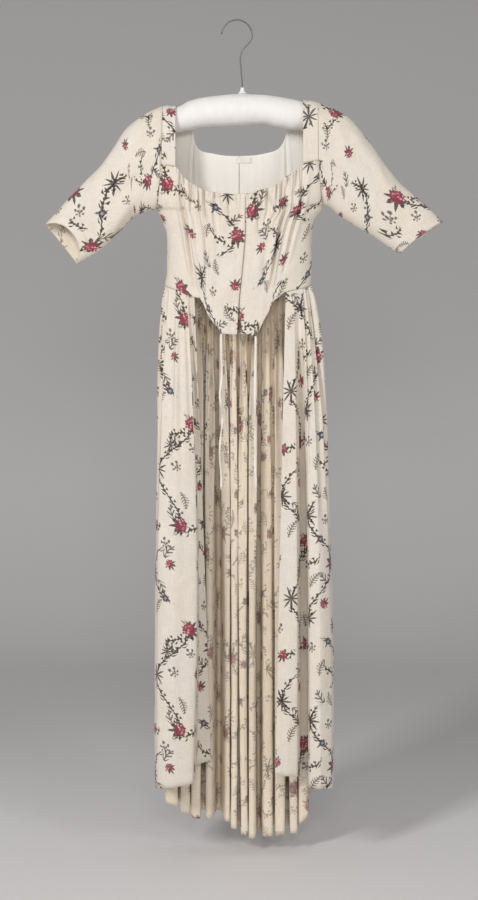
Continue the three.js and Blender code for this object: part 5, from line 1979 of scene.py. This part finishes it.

# %% [markdown]
# The size each cloth piece was cut to is worked out, and the skirt's panels print theirs. The widths are the
# cloth's full breadth at its widest, pleats opened out, and the lengths run down the grain.

# %% The cut of each piece


def flat_size(part):
    return float(part["u"][:, -1].max() - part["u"][:, 0].min()) * MM, float(part["v"].max()) * MM


def cut_area(grid, size, fullness):
    """Area of the cut: what the grid shows, a little more for its fullness, and never over its box"""
    return min(cloth_area(grid) * fullness, size[0] * size[1])


for side, front in fronts.items():
    size = flat_size(front)
    cut_area(front["grid"], size, 1.05)
for side, back in backs.items():
    size = flat_size(back)
    cut_area(back["grid"], size, 1.02)
    size = back["lining_size"]
    cut_area(back["inside"], size, 1.02)
for side, sleeve in sleeves.items():
    size = (float((sleeve["u"][:, -1] - sleeve["u"][:, 0]).max()) * MM, float(sleeve["v"].max()) * MM)
    cut_area(sleeve["grid"], size, 1.03)
for name, part in skirt.items():
    size = (float(part["u"][-1, -1]) * MM, float(part["v"].max()) * MM)
    side = name.split("_")[-1]
    print(name, "flat", [round(value, 3) for value in size], "area", round(cloth_area(part["grid"]), 3))

# %% [markdown]
# The setting is plain: one sweep of paper, painted pale on the floor and darker towards the back and up the
# wall as painted shade, and large soft lights.
# The main one stands high on the left and gives the folds their shade, a weaker one stands on the
# right, and a wide one fills from the front. The paper is clear from behind, so that a view from the
# back still shows the robe.

# %% Floor, backdrop and lights
FLOOR_LEVEL = -1.72
WALL_BACK = 2.7
WALL_TOP = 3.0
SWEEP_RADIUS = 0.9
SWEEP_FRONT = -3.5
SWEEP_HALF_WIDTH = 5.0
# Grey of the sweep by distance along it from its front edge, in metres: painted shade, darker towards the
# back and up the wall where less light falls
SWEEP_GREYS_WITH_PAINTED_SHADE = [
    (0.0, "EDEBEA"), (3.6, "E7E5E4"), (5.0, "CDCBCA"), (6.1, "CBC9C8"), (7.2, "BCBAB9"),
    (9.5, "8F8D8C"),
]
BEND_STEPS = 16
ROOM_LIGHT = 0.34


def make_sweep():
    """The paper: a floor, a round bend and a wall"""
    profile = [(SWEEP_FRONT, FLOOR_LEVEL)]
    centre_y, centre_z = WALL_BACK - SWEEP_RADIUS, FLOOR_LEVEL + SWEEP_RADIUS
    for step in range(BEND_STEPS + 1):
        turn = -math.pi / 2 + step / BEND_STEPS * math.pi / 2
        profile.append((centre_y + SWEEP_RADIUS * math.cos(turn), centre_z + SWEEP_RADIUS * math.sin(turn)))
    profile.append((WALL_BACK, WALL_TOP))
    mesh = bpy.data.meshes.new("sweep")
    verts, along = [], [0.0]
    for (y0, z0), (y1, z1) in zip(profile[:-1], profile[1:]):
        along.append(along[-1] + math.hypot(y1 - y0, z1 - z0))
    for y, z in profile:
        verts += [(-SWEEP_HALF_WIDTH, y, z), (SWEEP_HALF_WIDTH, y, z)]
    faces = [(2 * at, 2 * at + 1, 2 * at + 3, 2 * at + 2) for at in range(len(profile) - 1)]
    mesh.from_pydata(verts, [], faces)
    layer = mesh.uv_layers.new(name="run")
    for loop in mesh.loops:
        layer.data[loop.index].uv = (0.5, along[loop.vertex_index // 2])
    mesh.polygons.foreach_set("use_smooth", np.ones(len(mesh.polygons), bool))
    mesh.materials.append(studio_paper())
    add_object("sweep", mesh)


def studio_paper():
    """Grey by its distance along the sweep, darker up the wall as painted shade, and clear from behind"""
    material, tree, shader = new_material("studio paper with painted shade", Roughness=0.95, Specular_IOR_Level=0.1)
    run = tree.nodes.new("ShaderNodeUVMap")
    run.uv_map = "run"
    art = Drawing(tree)
    (distance,) = art.parts(run.outputs[0], (1,))
    # Painted shade: the ramp darkens the paper towards the back and up the wall
    ramp = tree.nodes.new("ShaderNodeValToRGB")
    ramp.color_ramp.interpolation = "EASE"
    length = SWEEP_GREYS_WITH_PAINTED_SHADE[-1][0]
    for number, (at, grey) in enumerate(SWEEP_GREYS_WITH_PAINTED_SHADE):
        stop = ramp.color_ramp.elements[number] if number < 2 else ramp.color_ramp.elements.new(at / length)
        stop.position = at / length
        stop.color = tone(grey)
    art.join(ramp.inputs[0], art.sum("DIVIDE", distance, length))
    tree.links.new(ramp.outputs[0], shader.inputs["Base Color"])
    side = tree.nodes.new("ShaderNodeNewGeometry")
    clear = tree.nodes.new("ShaderNodeBsdfTransparent")
    paper = tree.nodes.new("ShaderNodeMixShader")
    tree.links.new(side.outputs["Backfacing"], paper.inputs[0])
    tree.links.new(shader.outputs[0], paper.inputs[1])
    tree.links.new(clear.outputs[0], paper.inputs[2])
    tree.links.new(paper.outputs[0], tree.nodes["Material Output"].inputs["Surface"])
    return material


def soft_light(name, place, aim, size, watts, colour):
    """A rectangle of light, in metres and watts"""
    data = bpy.data.lights.new(name, "AREA")
    data.shape = "RECTANGLE"
    data.size, data.size_y = size
    data.energy = watts
    data.color = colour
    lamp = add_object(name, data)
    lamp.location = place
    lamp.rotation_euler = (Vector(aim) - Vector(place)).to_track_quat("-Z", "Y").to_euler()


make_sweep()
soft_light("key", (-2.4, -3.7, 1.4), (0, 0, -0.6), (0.7, 1.2), 99, (0.99, 0.975, 0.995))
soft_light("fill", (2.6, -3.6, 0.8), (0, 0, -0.5), (0.9, 1.6), 29, (0.99, 0.978, 0.995))
soft_light("front", (0.1, -4.8, 0.7), (0, 0, -0.4), (0.9, 0.7), 44, (0.99, 0.978, 0.995))
world = bpy.data.worlds.new("room")
bpy.context.scene.world = world
world.use_nodes = True
room = world.node_tree.nodes["Background"]
room.inputs[0].default_value = (1, 1, 1, 1)
room.inputs[1].default_value = ROOM_LIGHT
bpy.context.scene.view_settings.view_transform = "Standard"
print("lights:", len(bpy.data.lights))
